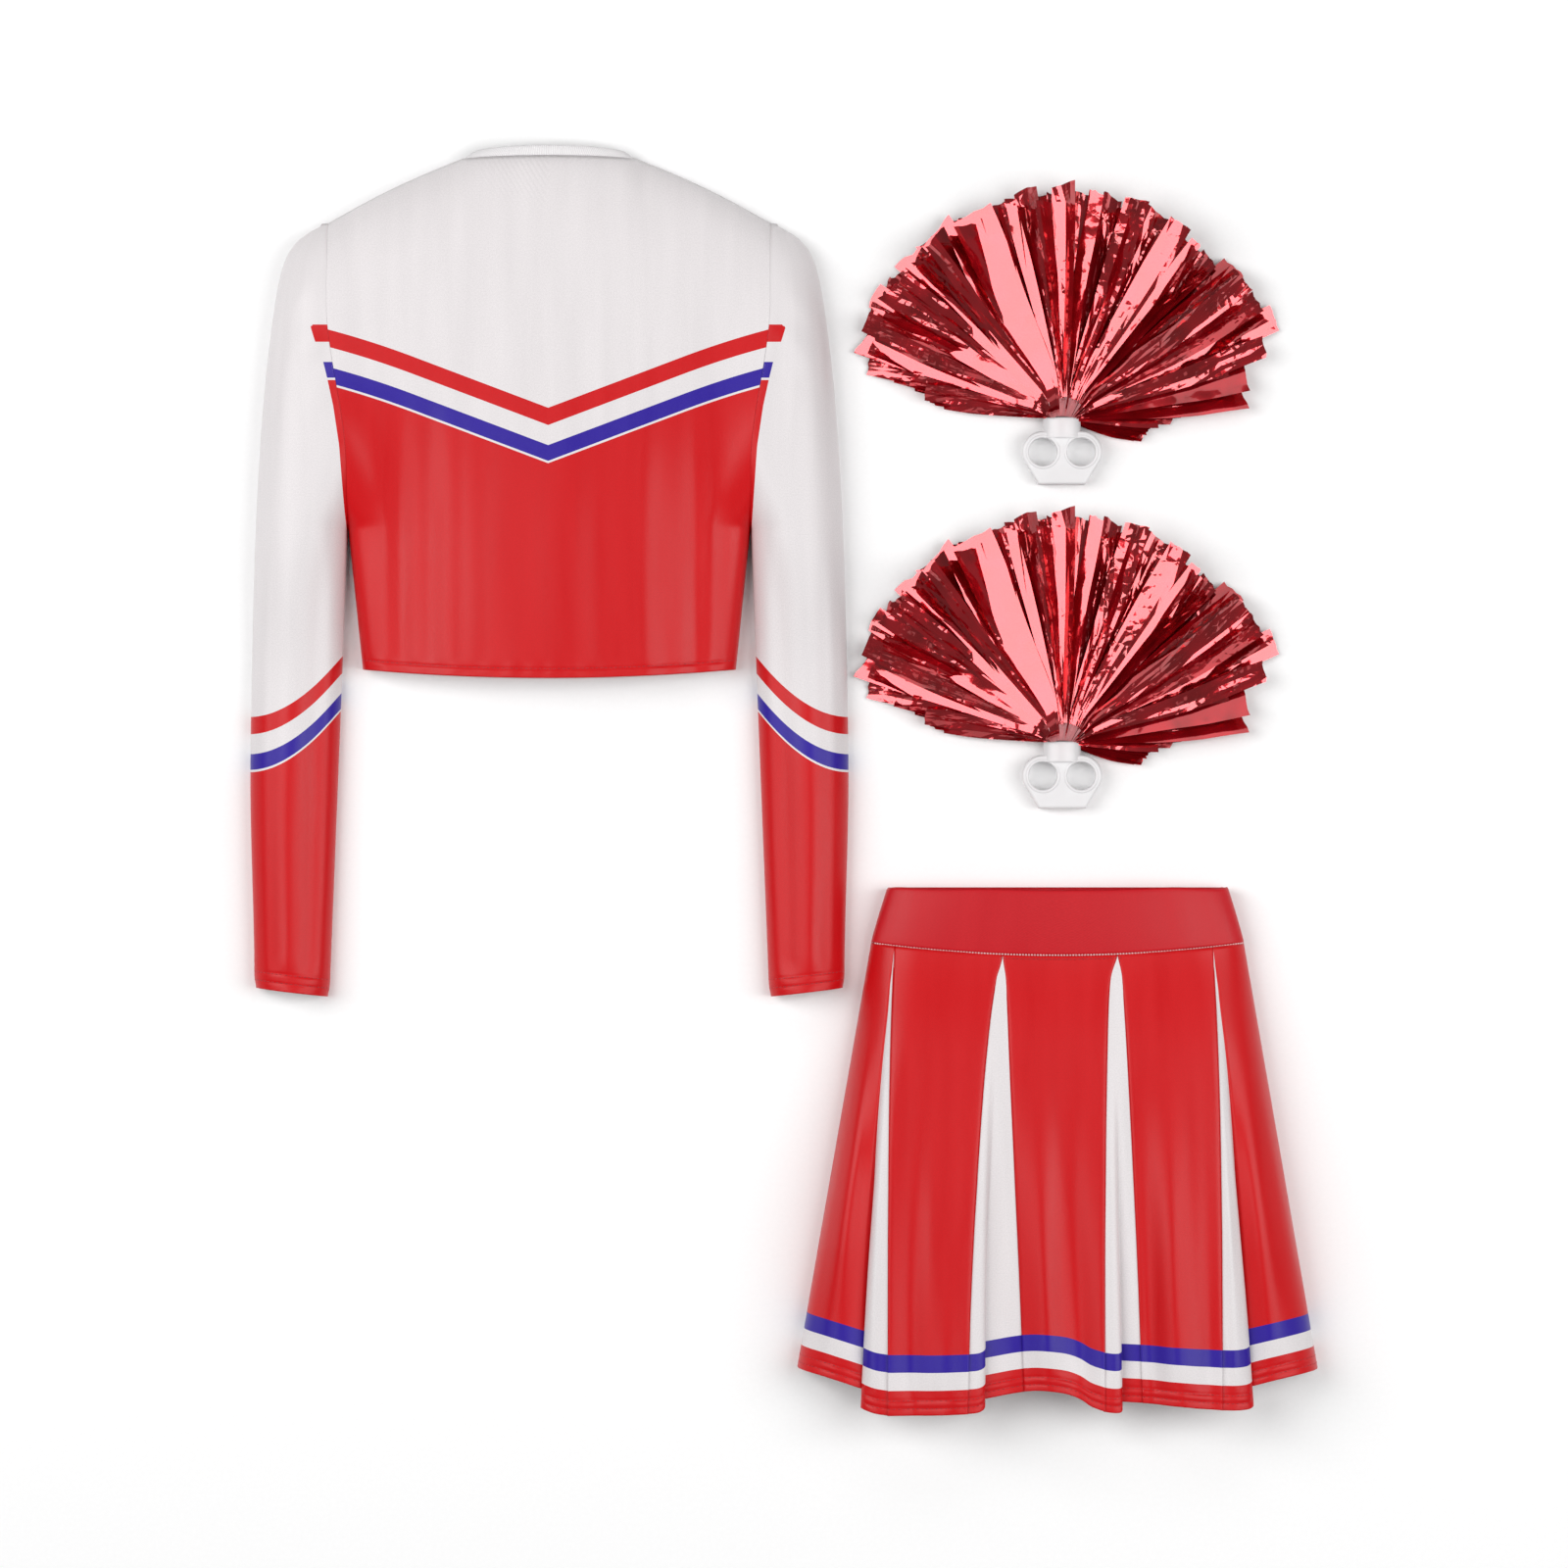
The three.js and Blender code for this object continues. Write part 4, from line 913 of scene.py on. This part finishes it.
def hem_finish(x, z, v):
    """The turned-up hem: fuller below its two stitch rows, with a groove along each."""
    up = (1 - v) * SKIRT_LENGTH
    for stitch in SKIRT_STITCHES:
        z = z - 0.5 * hump(up, stitch, 1.0)
    z = z + 0.5 * smooth((SKIRT_STITCHES[1] + 1 - up) / 2)
    pucker = np.sin(x / 3.1 + 2 * np.sin(x / 19)) * hump(up, 8, 5)
    return z + 0.25 * pucker


def stitch_rows(x, y, z, v):
    """Lines along a piece's two hem stitch rows."""
    up = (1 - v[:, 0]) * SKIRT_LENGTH
    rows = [int(np.argmin(np.abs(up - stitch))) for stitch in SKIRT_STITCHES]
    return [(np.stack([x[row], y[row], z[row]], axis=-1), 1) for row in rows]


def side_of(hand):
    """The outer edge of the skirt at v."""
    return lambda v: hand * skirt_half(v)


hem_stitch_lines = []
front_widths = {
    "side_left": (side_of(-1), GODET_EDGES["far_left"][0]),
    "gore_left": (GODET_EDGES["far_left"][1], GODET_EDGES["left"][0]),
    "gore_centre": (GODET_EDGES["left"][1], GODET_EDGES["right"][0]),
    "gore_right": (GODET_EDGES["right"][1], GODET_EDGES["far_right"][0]),
    "side_right": (GODET_EDGES["far_right"][1], side_of(1)),
}


def seam_edges(x, z, v, left, right):
    """The gores' edges are turned in where they meet a godet: they round off over about 2 mm, and
    less by the hem."""
    turned_in = 0.7 * smooth(v / 0.1) * (1 - 0.8 * smooth((v - 0.8) / 0.1))
    return z - turned_in * (hump(x, left(v), 1.4) + hump(x, right(v), 1.4))


def skirt_cloth(name, x, y, z, v, material, cad_node, slot, cut):
    """A piece of the skirt. Its flat cut's width, length and area in metres are not used."""
    points = np.stack([x, y, z], axis=-1)
    band = np.broadcast_to((1 - v) * SKIRT_LENGTH, z.shape)
    made = cloth(name, points, SKIRT_ORIGIN, material,
                 {"lay": lay_of(x, y), "band": band.copy()})
    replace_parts(made, cad_node)
    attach(made, "skirt")


FRONT_GORES = {"gore_left": "left_of_centre", "gore_centre": "centre",
               "gore_right": "right_of_centre"}
for shape, node_end in FRONT_GORES.items():
    left, right = front_widths[shape]
    x, y, z, v = front_piece(shape, left, right, 44)
    z = hem_finish(x, seam_edges(x, z, v, left, right), v)
    skirt_cloth(f"skirt_front_{shape}", x, y, z, v, PRINTED_GORE, f"front_gore_{node_end}",
                "red_knit", (0.082, 0.34, 0.0245))
    hem_stitch_lines += stitch_rows(x, y, z, v)

# The flat cut of each front godet: width at the hem, length, and area of its wedge, in metres.
GODET_CUTS = {"far_left": (0.045, 0.32, 0.0078), "left": (0.075, 0.34, 0.0126),
              "right": (0.06, 0.34, 0.0102), "far_right": (0.05, 0.31, 0.0082)}
# How far down the skirt each front godet's point is, as a share of the length.
GODET_STARTS = {"far_left": 0.01, "left": 0.005, "right": 0.005, "far_right": 0.01}
for end, (left, right) in GODET_EDGES.items():
    shape = f"godet_{end}"
    x, y, z, v = front_piece(shape, left, right, 40, start=GODET_STARTS[end], sink=1.0,
                             folds=0.4, tuck=1.2)
    z = hem_finish(x, z, v)
    skirt_cloth(f"skirt_front_{shape}", x, y, z, v, PRINTED_GODET, f"front_godet_{end}",
                "white_knit", GODET_CUTS[end])
    hem_stitch_lines += stitch_rows(x, y, z, v)

# Each back godet: where its middle is at the waist seam and at the hem, as shares of the skirt's
# half width, and its own half width at the hem, in mm.
BACK_SHARES = {"far_left": (-0.72, -0.66, 12), "left": (-0.3, -0.25, 15),
               "right": (0.3, 0.25, 15), "far_right": (0.72, 0.66, 12)}


def back_seam(end, towards):
    waist, hem, half = BACK_SHARES[end]
    return lambda v: mix(waist, hem, v) * skirt_half(v) + towards * half * clamp((v - 0.05) / 0.95)


def back_z(x, v):
    inset = skirt_half(v) - np.abs(x)
    wave = 0.9 * (1 + np.sin(x / 17 + 2 * v)) * smooth((v - 0.3) / 0.6) * smooth(inset / 30)
    return SKIRT_SEAM_Z - (SKIRT_SEAM_Z - 0.9) * rolled(inset, 16) + wave


def back_hem_y(x):
    return -(358.6 + 13 * (1 - (x / SKIRT_HALF) ** 2))


# Each side gore runs from the front, round the side fold, to the back.
for hand, side_name in ((-1, "left"), (1, "right")):
    shape = f"side_{side_name}"
    left, right = front_widths[shape]
    x, y, z, v = front_piece(shape, left, right, 40)
    inner_seam = right if hand < 0 else left
    z = hem_finish(x, seam_edges(x, z, v, inner_seam, inner_seam), v)
    edge = back_seam(f"far_{side_name}", hand)
    turn = np.sin(np.linspace(0, 1, 26)[1:] * math.pi / 2)[None, :]
    under_x = mix(hand * skirt_half(v), edge(v), 1 - np.sqrt(1 - turn ** 2))
    under_y = mix(waist_seam_y(under_x), back_hem_y(under_x), v)
    under_z = back_z(under_x, v)
    whole = []
    for above, below in zip((x, y, z), (under_x, under_y, under_z)):
        halves = [below[:, ::-1], above] if hand < 0 else [above, below]
        whole.append(np.concatenate(halves, axis=1))
    skirt_cloth(f"skirt_side_gore_{side_name}", *whole, v, PRINTED_GORE,
                f"side_gore_{side_name}", "red_knit", (0.16, 0.34, 0.042))
    hem_stitch_lines += stitch_rows(x, y, z, v)


def back_piece(name, left, right, columns, material, cad_node, slot, cut):
    v = ROWS_DOWN[:, None]
    s = np.linspace(1, 0, columns)[None, :]
    x = mix(left(v), right(v), s)
    y = mix(waist_seam_y(x), back_hem_y(x), v)
    z = back_z(x, v)
    skirt_cloth(name, x, y, z, v, material, cad_node, slot, cut)


order = ["far_left", "left", "right", "far_right"]
for index, node_end in enumerate(["left_of_centre", "centre", "right_of_centre"]):
    left = back_seam(order[index], 1)
    right = back_seam(order[index + 1], -1)
    back_piece(f"skirt_back_gore_{node_end}", left, right, 30, PRINTED_GORE,
               f"back_gore_{node_end}", "red_knit", (0.088, 0.34, 0.0215))
for end in order:
    back_piece(f"skirt_back_godet_{end}", back_seam(end, -1), back_seam(end, 1), 14,
               PRINTED_GODET, f"back_godet_{end}", "white_knit", (0.03, 0.33, 0.0046))


def power(value, exponent):
    return np.sign(value) * np.abs(value) ** exponent


# The row of the waistband's grid that runs along its lower seam, outside.
LOWER_SEAM_ROW = 26


def waistband():
    """The wide waistband: one cloth folded over its elastic, outside and lining."""
    turns = np.linspace(0, 2 * math.pi, 161)[:-1]
    # Round the band's own section: down the outside, across its lower seam, up the lining.
    drop = np.concatenate([
        [0.012, 0.0], np.linspace(0, 1, 26)[1:], [1.0], np.linspace(1, 0, 14)[1:-1], [0.0, 0.012],
    ])
    inset = np.concatenate([
        [1.4, 0.5], np.zeros(25), [4.4], np.full(12, 5.0), [4.4, 3.4],
    ])
    t, a = np.meshgrid(drop, turns, indexing="ij")
    deep = np.broadcast_to(inset[:, None], t.shape)
    cosine, sine = power(np.cos(a), 0.75), power(np.sin(a), 0.6)
    half = mix(WAIST_HALF, SKIRT_SEAM_HALF, t ** 1.15)
    up = np.where(sine > 0, WAIST_HEIGHT - SKIRT_SEAM_Z, SKIRT_SEAM_Z)
    across, rise = power(cosine, 5 / 3) / half, power(sine, 7 / 3) / up
    length = np.hypot(across, rise)
    low = t * (WAISTBAND_DEPTH + WAISTBAND_SAG * (1 - cosine ** 2))
    puff = 1.0 * np.sin(math.pi * clamp(t)) ** 0.7 * (sine > 0)
    ripple = 0.5 * np.sin(a * 7 + 1.3) * (1 - t) * (sine > 0.1)
    x = half * cosine - (deep - puff) * across / length
    z = SKIRT_SEAM_Z + sine * up - (deep - puff) * rise / length
    z = np.maximum(z, 0.1)
    top_dip = -1.4 * hump(x, -20, 60) * (sine > 0) * (1 - t)
    y = -low + top_dip + ripple
    points = np.stack([x, y, z], axis=-1)
    faces = grid_faces(len(drop), len(turns), round_it=True, closed=True)
    lay = lay_of(a * 90, -low)
    made = piece_from("skirt_waistband", points.reshape(-1, 3), faces, SKIRT_ORIGIN, [RED_KNIT],
                      {"lay": lay.reshape(-1, 3), "band": np.full(t.size, PRINT_TO)})
    seam = points[LOWER_SEAM_ROW]
    return made, seam[(turns > 0.12) & (turns < math.pi - 0.12)]


band, band_seam = waistband()
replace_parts(band, "waistband_outer", "waistband_elastic", "waistband_lining")
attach(band, "skirt")
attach(stitches("skirt_hem_stitches", hem_stitch_lines, SKIRT_ORIGIN, RED_THREAD), "skirt")
cover = band_seam + np.array([0, -0.2, 0.4])
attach(stitches("skirt_waist_cover_stitch", [(cover, 1)], SKIRT_ORIGIN, PINK_THREAD,
                 length=1.9, gap=0.3, radius=0.62), "skirt")
below = band_seam + np.array([0, -3.2, 0.6])
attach(stitches("skirt_waist_top_stitch", [(below[30:-30], 1)], SKIRT_ORIGIN, RED_THREAD,
                 length=2.0, gap=1.0), "skirt")


# ---------------------------------------------------------------- pompoms
HOLE_Y, HOLE_R, HALF_PITCH, LOBE_R = -26.0, 10.6, 14.35, 15.6
FOOT_Y, FOOT_HALF = -50.5, 19.0
PLATE_THICK = 16.0
COLLAR_HALF, COLLAR_HEIGHT, COLLAR_WALL = 14.0, 20.0, 2.0
PLATE_ROUNDING = 2.2


def arc(cx, cy, radius, start, end, count):
    turns = np.linspace(start, end, count)
    return [(cx + radius * math.cos(t), cy + radius * math.sin(t)) for t in turns]


def handle_outline():
    slope = math.atan2(HOLE_Y - FOOT_Y, HALF_PITCH + LOBE_R - FOOT_HALF)
    tangent = math.pi / 2 - slope
    right = arc(HALF_PITCH, HOLE_Y, LOBE_R, -tangent, math.pi / 2, 26)
    left = arc(-HALF_PITCH, HOLE_Y, LOBE_R, math.pi / 2, math.pi + tangent, 26)
    corner = arc(FOOT_HALF - 3, FOOT_Y + 3, 3, -math.pi / 2, -0.2, 7)
    other = [(-x, y) for x, y in reversed(corner)]
    return corner + right + left + other


def handle_plate(name, origin):
    """The flat plate with its two finger holes, its edges rounded as the mould leaves them."""
    curve = bpy.data.curves.new(name, "CURVE")
    curve.dimensions = "2D"
    curve.fill_mode = "BOTH"
    curve.extrude = (PLATE_THICK / 2 - PLATE_ROUNDING) * MM
    curve.bevel_depth = PLATE_ROUNDING * MM
    curve.bevel_resolution = 5
    holes = [arc(x, HOLE_Y, HOLE_R + PLATE_ROUNDING, 0, -2 * math.pi, 49)[:-1]
             for x in (-HALF_PITCH, HALF_PITCH)]
    for line in [shrink(handle_outline(), PLATE_ROUNDING)] + holes:
        spline = curve.splines.new("POLY")
        spline.points.add(len(line) - 1)
        spline.points.foreach_set("co", [c for x, y in line for c in (x * MM, y * MM, 0, 1)])
        spline.use_cyclic_u = True
    source = bpy.data.objects.new(name, curve)
    bpy.context.scene.collection.objects.link(source)
    bpy.context.view_layer.update()
    evaluated = source.evaluated_get(bpy.context.evaluated_depsgraph_get())
    mesh = bpy.data.meshes.new_from_object(evaluated)
    bpy.data.objects.remove(source)
    mesh.transform(Matrix.Translation((origin[0], origin[1], PLATE_THICK / 2 * MM)))
    made = bpy.data.objects.new(name, mesh)
    mesh.materials.clear()
    mesh.materials.append(PLASTIC)
    bpy.context.scene.collection.objects.link(made)
    return made


def shrink(line, by):
    """A closed outline drawn in by a distance, to leave room for its rounded edge."""
    points = np.array(line, float)
    before, after = np.roll(points, 1, 0), np.roll(points, -1, 0)
    along = after - before
    along /= np.linalg.norm(along, axis=1, keepdims=True)
    return (points + np.stack([-along[:, 1], along[:, 0]], axis=-1) * by).tolist()


def finger_rim(name, x, origin):
    """The rolled rim round a finger hole, turned from its closed profile of (radius, height)."""
    top = PLATE_THICK
    profile = [(HOLE_R, top - 4), (HOLE_R, top - 0.2), (HOLE_R + 0.4, top + 0.5),
               (HOLE_R + 1.2, top + 0.8), (HOLE_R + 2.0, top + 0.5), (HOLE_R + 2.6, top - 0.3),
               (HOLE_R + 2.6, top - 4)]
    turns = np.linspace(0, 2 * math.pi, 57)[:-1]
    points = np.array([[x + r * math.cos(t), HOLE_Y + r * math.sin(t), z]
                       for t in turns for r, z in profile])
    faces = grid_faces(len(turns), len(profile), round_it=True, closed=True)
    return piece_from(name, points, faces, origin, [PLASTIC], {})


def handle_collar(name, origin):
    """The oval collar that holds the streamers: a tube with a rolled lip and a flared root, from
    its profile of (Y, how much it grows)."""
    profile = [(-15.5, 3.2), (-14.5, 1.6), (-13, 0.6), (-10, 0.15), (-2, 0), (-1, -0.1),
               (-0.3, -0.5), (0, -1.1), (-0.3, -1.7), (-1.5, -COLLAR_WALL),
               (-10, -COLLAR_WALL), (-10.2, -6.0)]
    turns = np.linspace(0, 2 * math.pi, 73)[:-1]
    points = []
    for y, grow in profile:
        for t in turns:
            rise = (COLLAR_HEIGHT / 2 + min(grow, 0.0)) * math.sin(t)
            points.append([(COLLAR_HALF + grow) * math.cos(t), y, COLLAR_HEIGHT / 2 + rise])
    n = len(turns)
    faces = grid_faces(len(profile), n, round_it=True)[:, [0, 3, 2, 1]].tolist()
    faces.append(list(range(len(points) - n, len(points))))
    faces.append(list(range(n))[::-1])
    return piece_from(name, np.array(points), faces, origin, [PLASTIC], {})


# How a strip's face is tilted: how far it rises per mm to the right, and per mm away.
FACE_LEFT, FACE_RIGHT = (0.37, -0.05), (-0.3, 0.05)
FACE_FAR, FACE_NEAR = (0.08, -0.42), (0.06, 0.5)
ON_EDGE_LEFT, ON_EDGE_RIGHT = (0.8, 0.0), (-0.75, 0.0)
# Streamers that show, laid one over the next: direction of the tip in degrees from +X, reach,
# width at the tip, how its face is tilted, the height of its crest, and how crumpled it is, from
# 0 to 1. The rest is in mm.
SHOWN_STREAMERS = [
    (170, 104, 12, FACE_NEAR, 26, 0.5), (165, 150, 14, FACE_LEFT, 34, 0.5),
    (160, 160, 16, FACE_LEFT, 42, 0.15), (155.5, 150, 10, FACE_NEAR, 44, 0.6),
    (152.5, 160, 18, FACE_LEFT, 48, 0.1), (147, 168, 19, FACE_LEFT, 52, 0.15),
    (143.5, 162, 10, ON_EDGE_LEFT, 54, 0.4), (140.5, 160, 22, FACE_LEFT, 56, 0.05),
    (133.5, 167, 26, FACE_LEFT, 60, 0.0), (127.5, 163, 11, ON_EDGE_RIGHT, 62, 0.4),
    (124, 168, 28, FACE_LEFT, 62, 0.0), (114.5, 166, 34, FACE_LEFT, 64, 0.0),
    (106.5, 166, 13, ON_EDGE_LEFT, 64, 0.2), (104, 162, 9, FACE_LEFT, 65, 0.1),
    (99.5, 171, 17, ON_EDGE_LEFT, 64, 0.5), (95, 160, 13, ON_EDGE_RIGHT, 64, 0.4),
    (90, 172, 17, ON_EDGE_LEFT, 65, 0.5), (85.5, 166, 12, ON_EDGE_RIGHT, 63, 0.3),
    (81.5, 168, 11, FACE_LEFT, 64, 0.2), (77, 168, 15, ON_EDGE_RIGHT, 63, 0.6),
    (71, 170, 18, FACE_LEFT, 62, 0.8), (65, 168, 20, FACE_RIGHT, 61, 0.7),
    (58.5, 168, 18, FACE_NEAR, 60, 0.6), (52.5, 164, 9, FACE_RIGHT, 59, 0.15),
    (47, 163, 16, FACE_FAR, 56, 0.3), (41, 171, 20, FACE_FAR, 52, 0.2),
    (36, 169, 15, FACE_NEAR, 47, 0.7), (30.5, 170, 17, FACE_FAR, 44, 0.6),
    (25, 176, 20, FACE_RIGHT, 40, 0.2), (19, 160, 16, FACE_NEAR, 34, 0.6),
    (13, 141, 26, FACE_FAR, 27, 0.05), (7, 136, 22, FACE_FAR, 20, 0.05),
    (1, 84, 14, FACE_NEAR, 14, 0.9), (-8, 62, 16, FACE_FAR, 12, 0.9),
]
# A strip less crumpled than this shades as one sheet, and the rest facet by facet.
SMOOTH_STRIP = 0.3


def streamer(rng, angle, reach, width, tilt, height, crumple, rows=14, columns=6):
    """One strip of film: gathered in the collar, rising to a crest and falling straight to its cut
    end, with its face tilted to one side and a lengthwise crease."""
    turn = math.radians(angle)
    outwards = np.array([math.cos(turn), math.sin(turn)])
    beside = np.array([-math.sin(turn), math.cos(turn)])
    t = np.linspace(0, 1, rows)[:, None]
    u = np.linspace(-1, 1, columns)[None, :]
    at_end = t > 0.97
    r = reach * t * np.ones_like(u)
    half = width / 2 * np.minimum(1.0, 0.16 + 1.05 * t ** 0.75)
    crest = 0.08 * reach
    # It falls outwards, by as much as keeps its end off the floor.
    steepest = (0.8 * height - rng.uniform(2, 6)) / (reach - crest)
    slope_out = max(-max(steepest, 0.01), min(-0.05, float(np.dot(tilt, outwards))))
    slope_side = float(np.dot(tilt, beside))
    falling = 0.8 * height + slope_out * (r - crest)
    base = mix(COLLAR_HEIGHT / 2 + 0.17 * height, falling, smooth(r / crest))
    flare = smooth(t / 0.2)
    ridge = rng.uniform(-0.5, 0.5)
    fold = rng.uniform(0.05, 0.5) * min(1.0, 0.08 + 1.2 * crumple)
    crease = (np.abs(u - ridge) - 0.5) * half * fold * 1.5
    across = u * half
    jag = rng.normal(0, 1, (rows, columns)) * (0.03 + 1.1 * crumple)
    jag[1:-1] = (jag[1:-1] + 0.5 * jag[:-2] + 0.5 * jag[2:]) / 2
    z = base + (across * slope_side + crease + jag) * flare
    slant = rng.uniform(-0.35, 0.35)
    r = r + (slant * across + rng.normal(0, 0.6, (1, columns))) * at_end
    root = (1 - smooth(t / 0.14)) * 9.5 * math.cos(turn)
    wander = math.radians(rng.uniform(-2, 2)) * np.sin(t * math.pi) ** 2
    x = root + r * np.cos(turn + wander) - across * np.sin(turn + wander)
    y = r * np.sin(turn + wander) + across * np.cos(turn + wander) + 0.5
    points = np.stack([x, y, np.clip(z, rng.uniform(0.3, 2.0), 66.5)], axis=-1)
    lay = lay_of(across + angle * 31.0, r)
    return points, lay, np.full(z.shape, crumple)


# How far the fan's tips reach, as (degrees, mm).
FAN_OUTLINE = [(-20, 50), (2, 78), (8, 133), (13, 138), (21, 150), (25, 172), (40, 172), (46, 164),
               (63, 170), (78, 166), (86, 171), (101, 170), (111, 171), (128, 171), (142, 166),
               (155, 167), (161, 152), (169, 104), (178, 60)]


def film_strips(name, strips, origin, rng):
    """A piece of many strips, each a thin sheet with a face on both sides."""
    all_points, all_faces, all_lay, all_crumple, smooth_faces = [], [], [], [], []
    count = 0
    for strip in strips:
        points, lay, crumple = streamer(rng, *strip)
        rows, columns = points.shape[:2]
        faces = grid_faces(rows, columns) + count
        all_points.append(points.reshape(-1, 3))
        all_faces.append(faces)
        all_lay.append(lay.reshape(-1, 3))
        all_crumple.append(crumple.ravel())
        smooth_faces += [strip[-1] < SMOOTH_STRIP] * len(faces)
        count += rows * columns
    made = piece_from(name, np.concatenate(all_points), np.concatenate(all_faces), origin, [FILM],
                      {"lay": np.concatenate(all_lay), "crumple": np.concatenate(all_crumple)})
    made.data.polygons.foreach_set("use_smooth", smooth_faces)
    return made


# Under the streamers that show, more fill the fan, level over level.
FILLER_TILTS = [FACE_LEFT, FACE_RIGHT, FACE_FAR, FACE_NEAR, ON_EDGE_LEFT, ON_EDGE_RIGHT]
FILLER_LEVELS = (0.2, 0.38, 0.54, 0.68, 0.8)
# Each bundle, with the directions in degrees that it runs between.
BUNDLES = [("far_left", 172, 152.5), ("left", 152.5, 130.5), ("upper_left", 130.5, 108.5),
           ("top", 108.5, 83.5), ("upper_right", 83.5, 56.5), ("right", 56.5, 30.5),
           ("far_right", 30.5, -12)]


def pompom(number, origin):
    body = f"pompom_{number}"
    plate = handle_plate(f"{body}_moulded_handle", origin)
    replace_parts(plate, f"{body}_handle")
    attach(plate, body)
    collar = handle_collar(f"{body}_moulded_collar", origin)
    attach(collar, body)
    for hand, x in (("left", -HALF_PITCH), ("right", HALF_PITCH)):
        rim = finger_rim(f"{body}_{hand}_finger_rim", x, origin)
        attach(rim, body)
    rng = np.random.default_rng(41)
    for name, high, low in BUNDLES:
        strips = []
        count = int((high - low) / 4.5)
        for level in FILLER_LEVELS:
            for k in range(count):
                angle = low + (high - low) * (k + rng.uniform(0.2, 0.8)) / count
                reach = np.interp(angle, *zip(*FAN_OUTLINE)) * rng.uniform(0.9, 0.985)
                tall = mix(18, 58, math.sin(math.pi * clamp((angle + 5) / 185)) ** 0.8)
                tilt = FILLER_TILTS[rng.integers(len(FILLER_TILTS))]
                strips.append((angle, reach, rng.uniform(11, 17), tilt, tall * level,
                               rng.uniform(0.2, 0.8)))
        strips += [s for s in SHOWN_STREAMERS if low <= s[0] < high]
        bundle = film_strips(f"{body}_film_{name}", strips, origin, rng)
        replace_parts(bundle, f"{body}_streamers_{name}")
        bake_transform(bundle)
    # The root of the streamers, inside the collar, shows as the CAD has it.
    root_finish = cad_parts[f"{body}_streamer_root"].data.materials
    root_finish.clear()
    root_finish.append(FILM)


for number, origin in enumerate(POMPOM_ORIGINS, 1):
    pompom(number, origin)


# ---------------------------------------------------------------- studio
def softbox(name, place, size, power_w):
    """A rectangular light, in metres, turned to the middle of the floor."""
    light = bpy.data.lights.new(name, "AREA")
    light.shape = "RECTANGLE"
    light.size, light.size_y = size
    light.energy = power_w
    made = bpy.data.objects.new(name, light)
    made.location = place
    bpy.context.scene.collection.objects.link(made)
    direction = -made.location
    made.rotation_euler = direction.to_track_quat("-Z", "Y").to_euler()


bpy.ops.mesh.primitive_plane_add(size=14)
floor = bpy.context.object
floor.name = "floor"
floor.data.materials.append(studio_floor())

softbox("left_softbox", (-1.8, 0.5, 2.35), (1.6, 2.8), 62)
softbox("right_softbox", (1.8, 0.0, 2.35), (1.4, 2.6), 51)
softbox("far_softbox", (0.0, 2.4, 2.2), (3.0, 1.0), 9)
softbox("near_softbox", (0.0, -2.4, 2.2), (3.0, 1.0), 5)

world = bpy.data.worlds.new("studio_air")
world.use_nodes = True
world.node_tree.nodes["Background"].inputs["Color"].default_value = (1, 1, 1, 1)
world.node_tree.nodes["Background"].inputs["Strength"].default_value = 0.15
bpy.context.scene.world = world

# The camera looks straight down from far off, and takes in this width of the floor, in metres.
VIEW_WIDTH = 1.176
LENS, SENSOR = 200.0, 36.0
eye = bpy.data.cameras.new("camera")
eye.lens = LENS
eye.sensor_width = SENSOR
camera = bpy.data.objects.new("camera", eye)
camera.location = (0.0, -0.004, VIEW_WIDTH * LENS / SENSOR)
bpy.context.scene.collection.objects.link(camera)
bpy.context.scene.camera = camera
bpy.context.scene.view_settings.view_transform = "Standard"
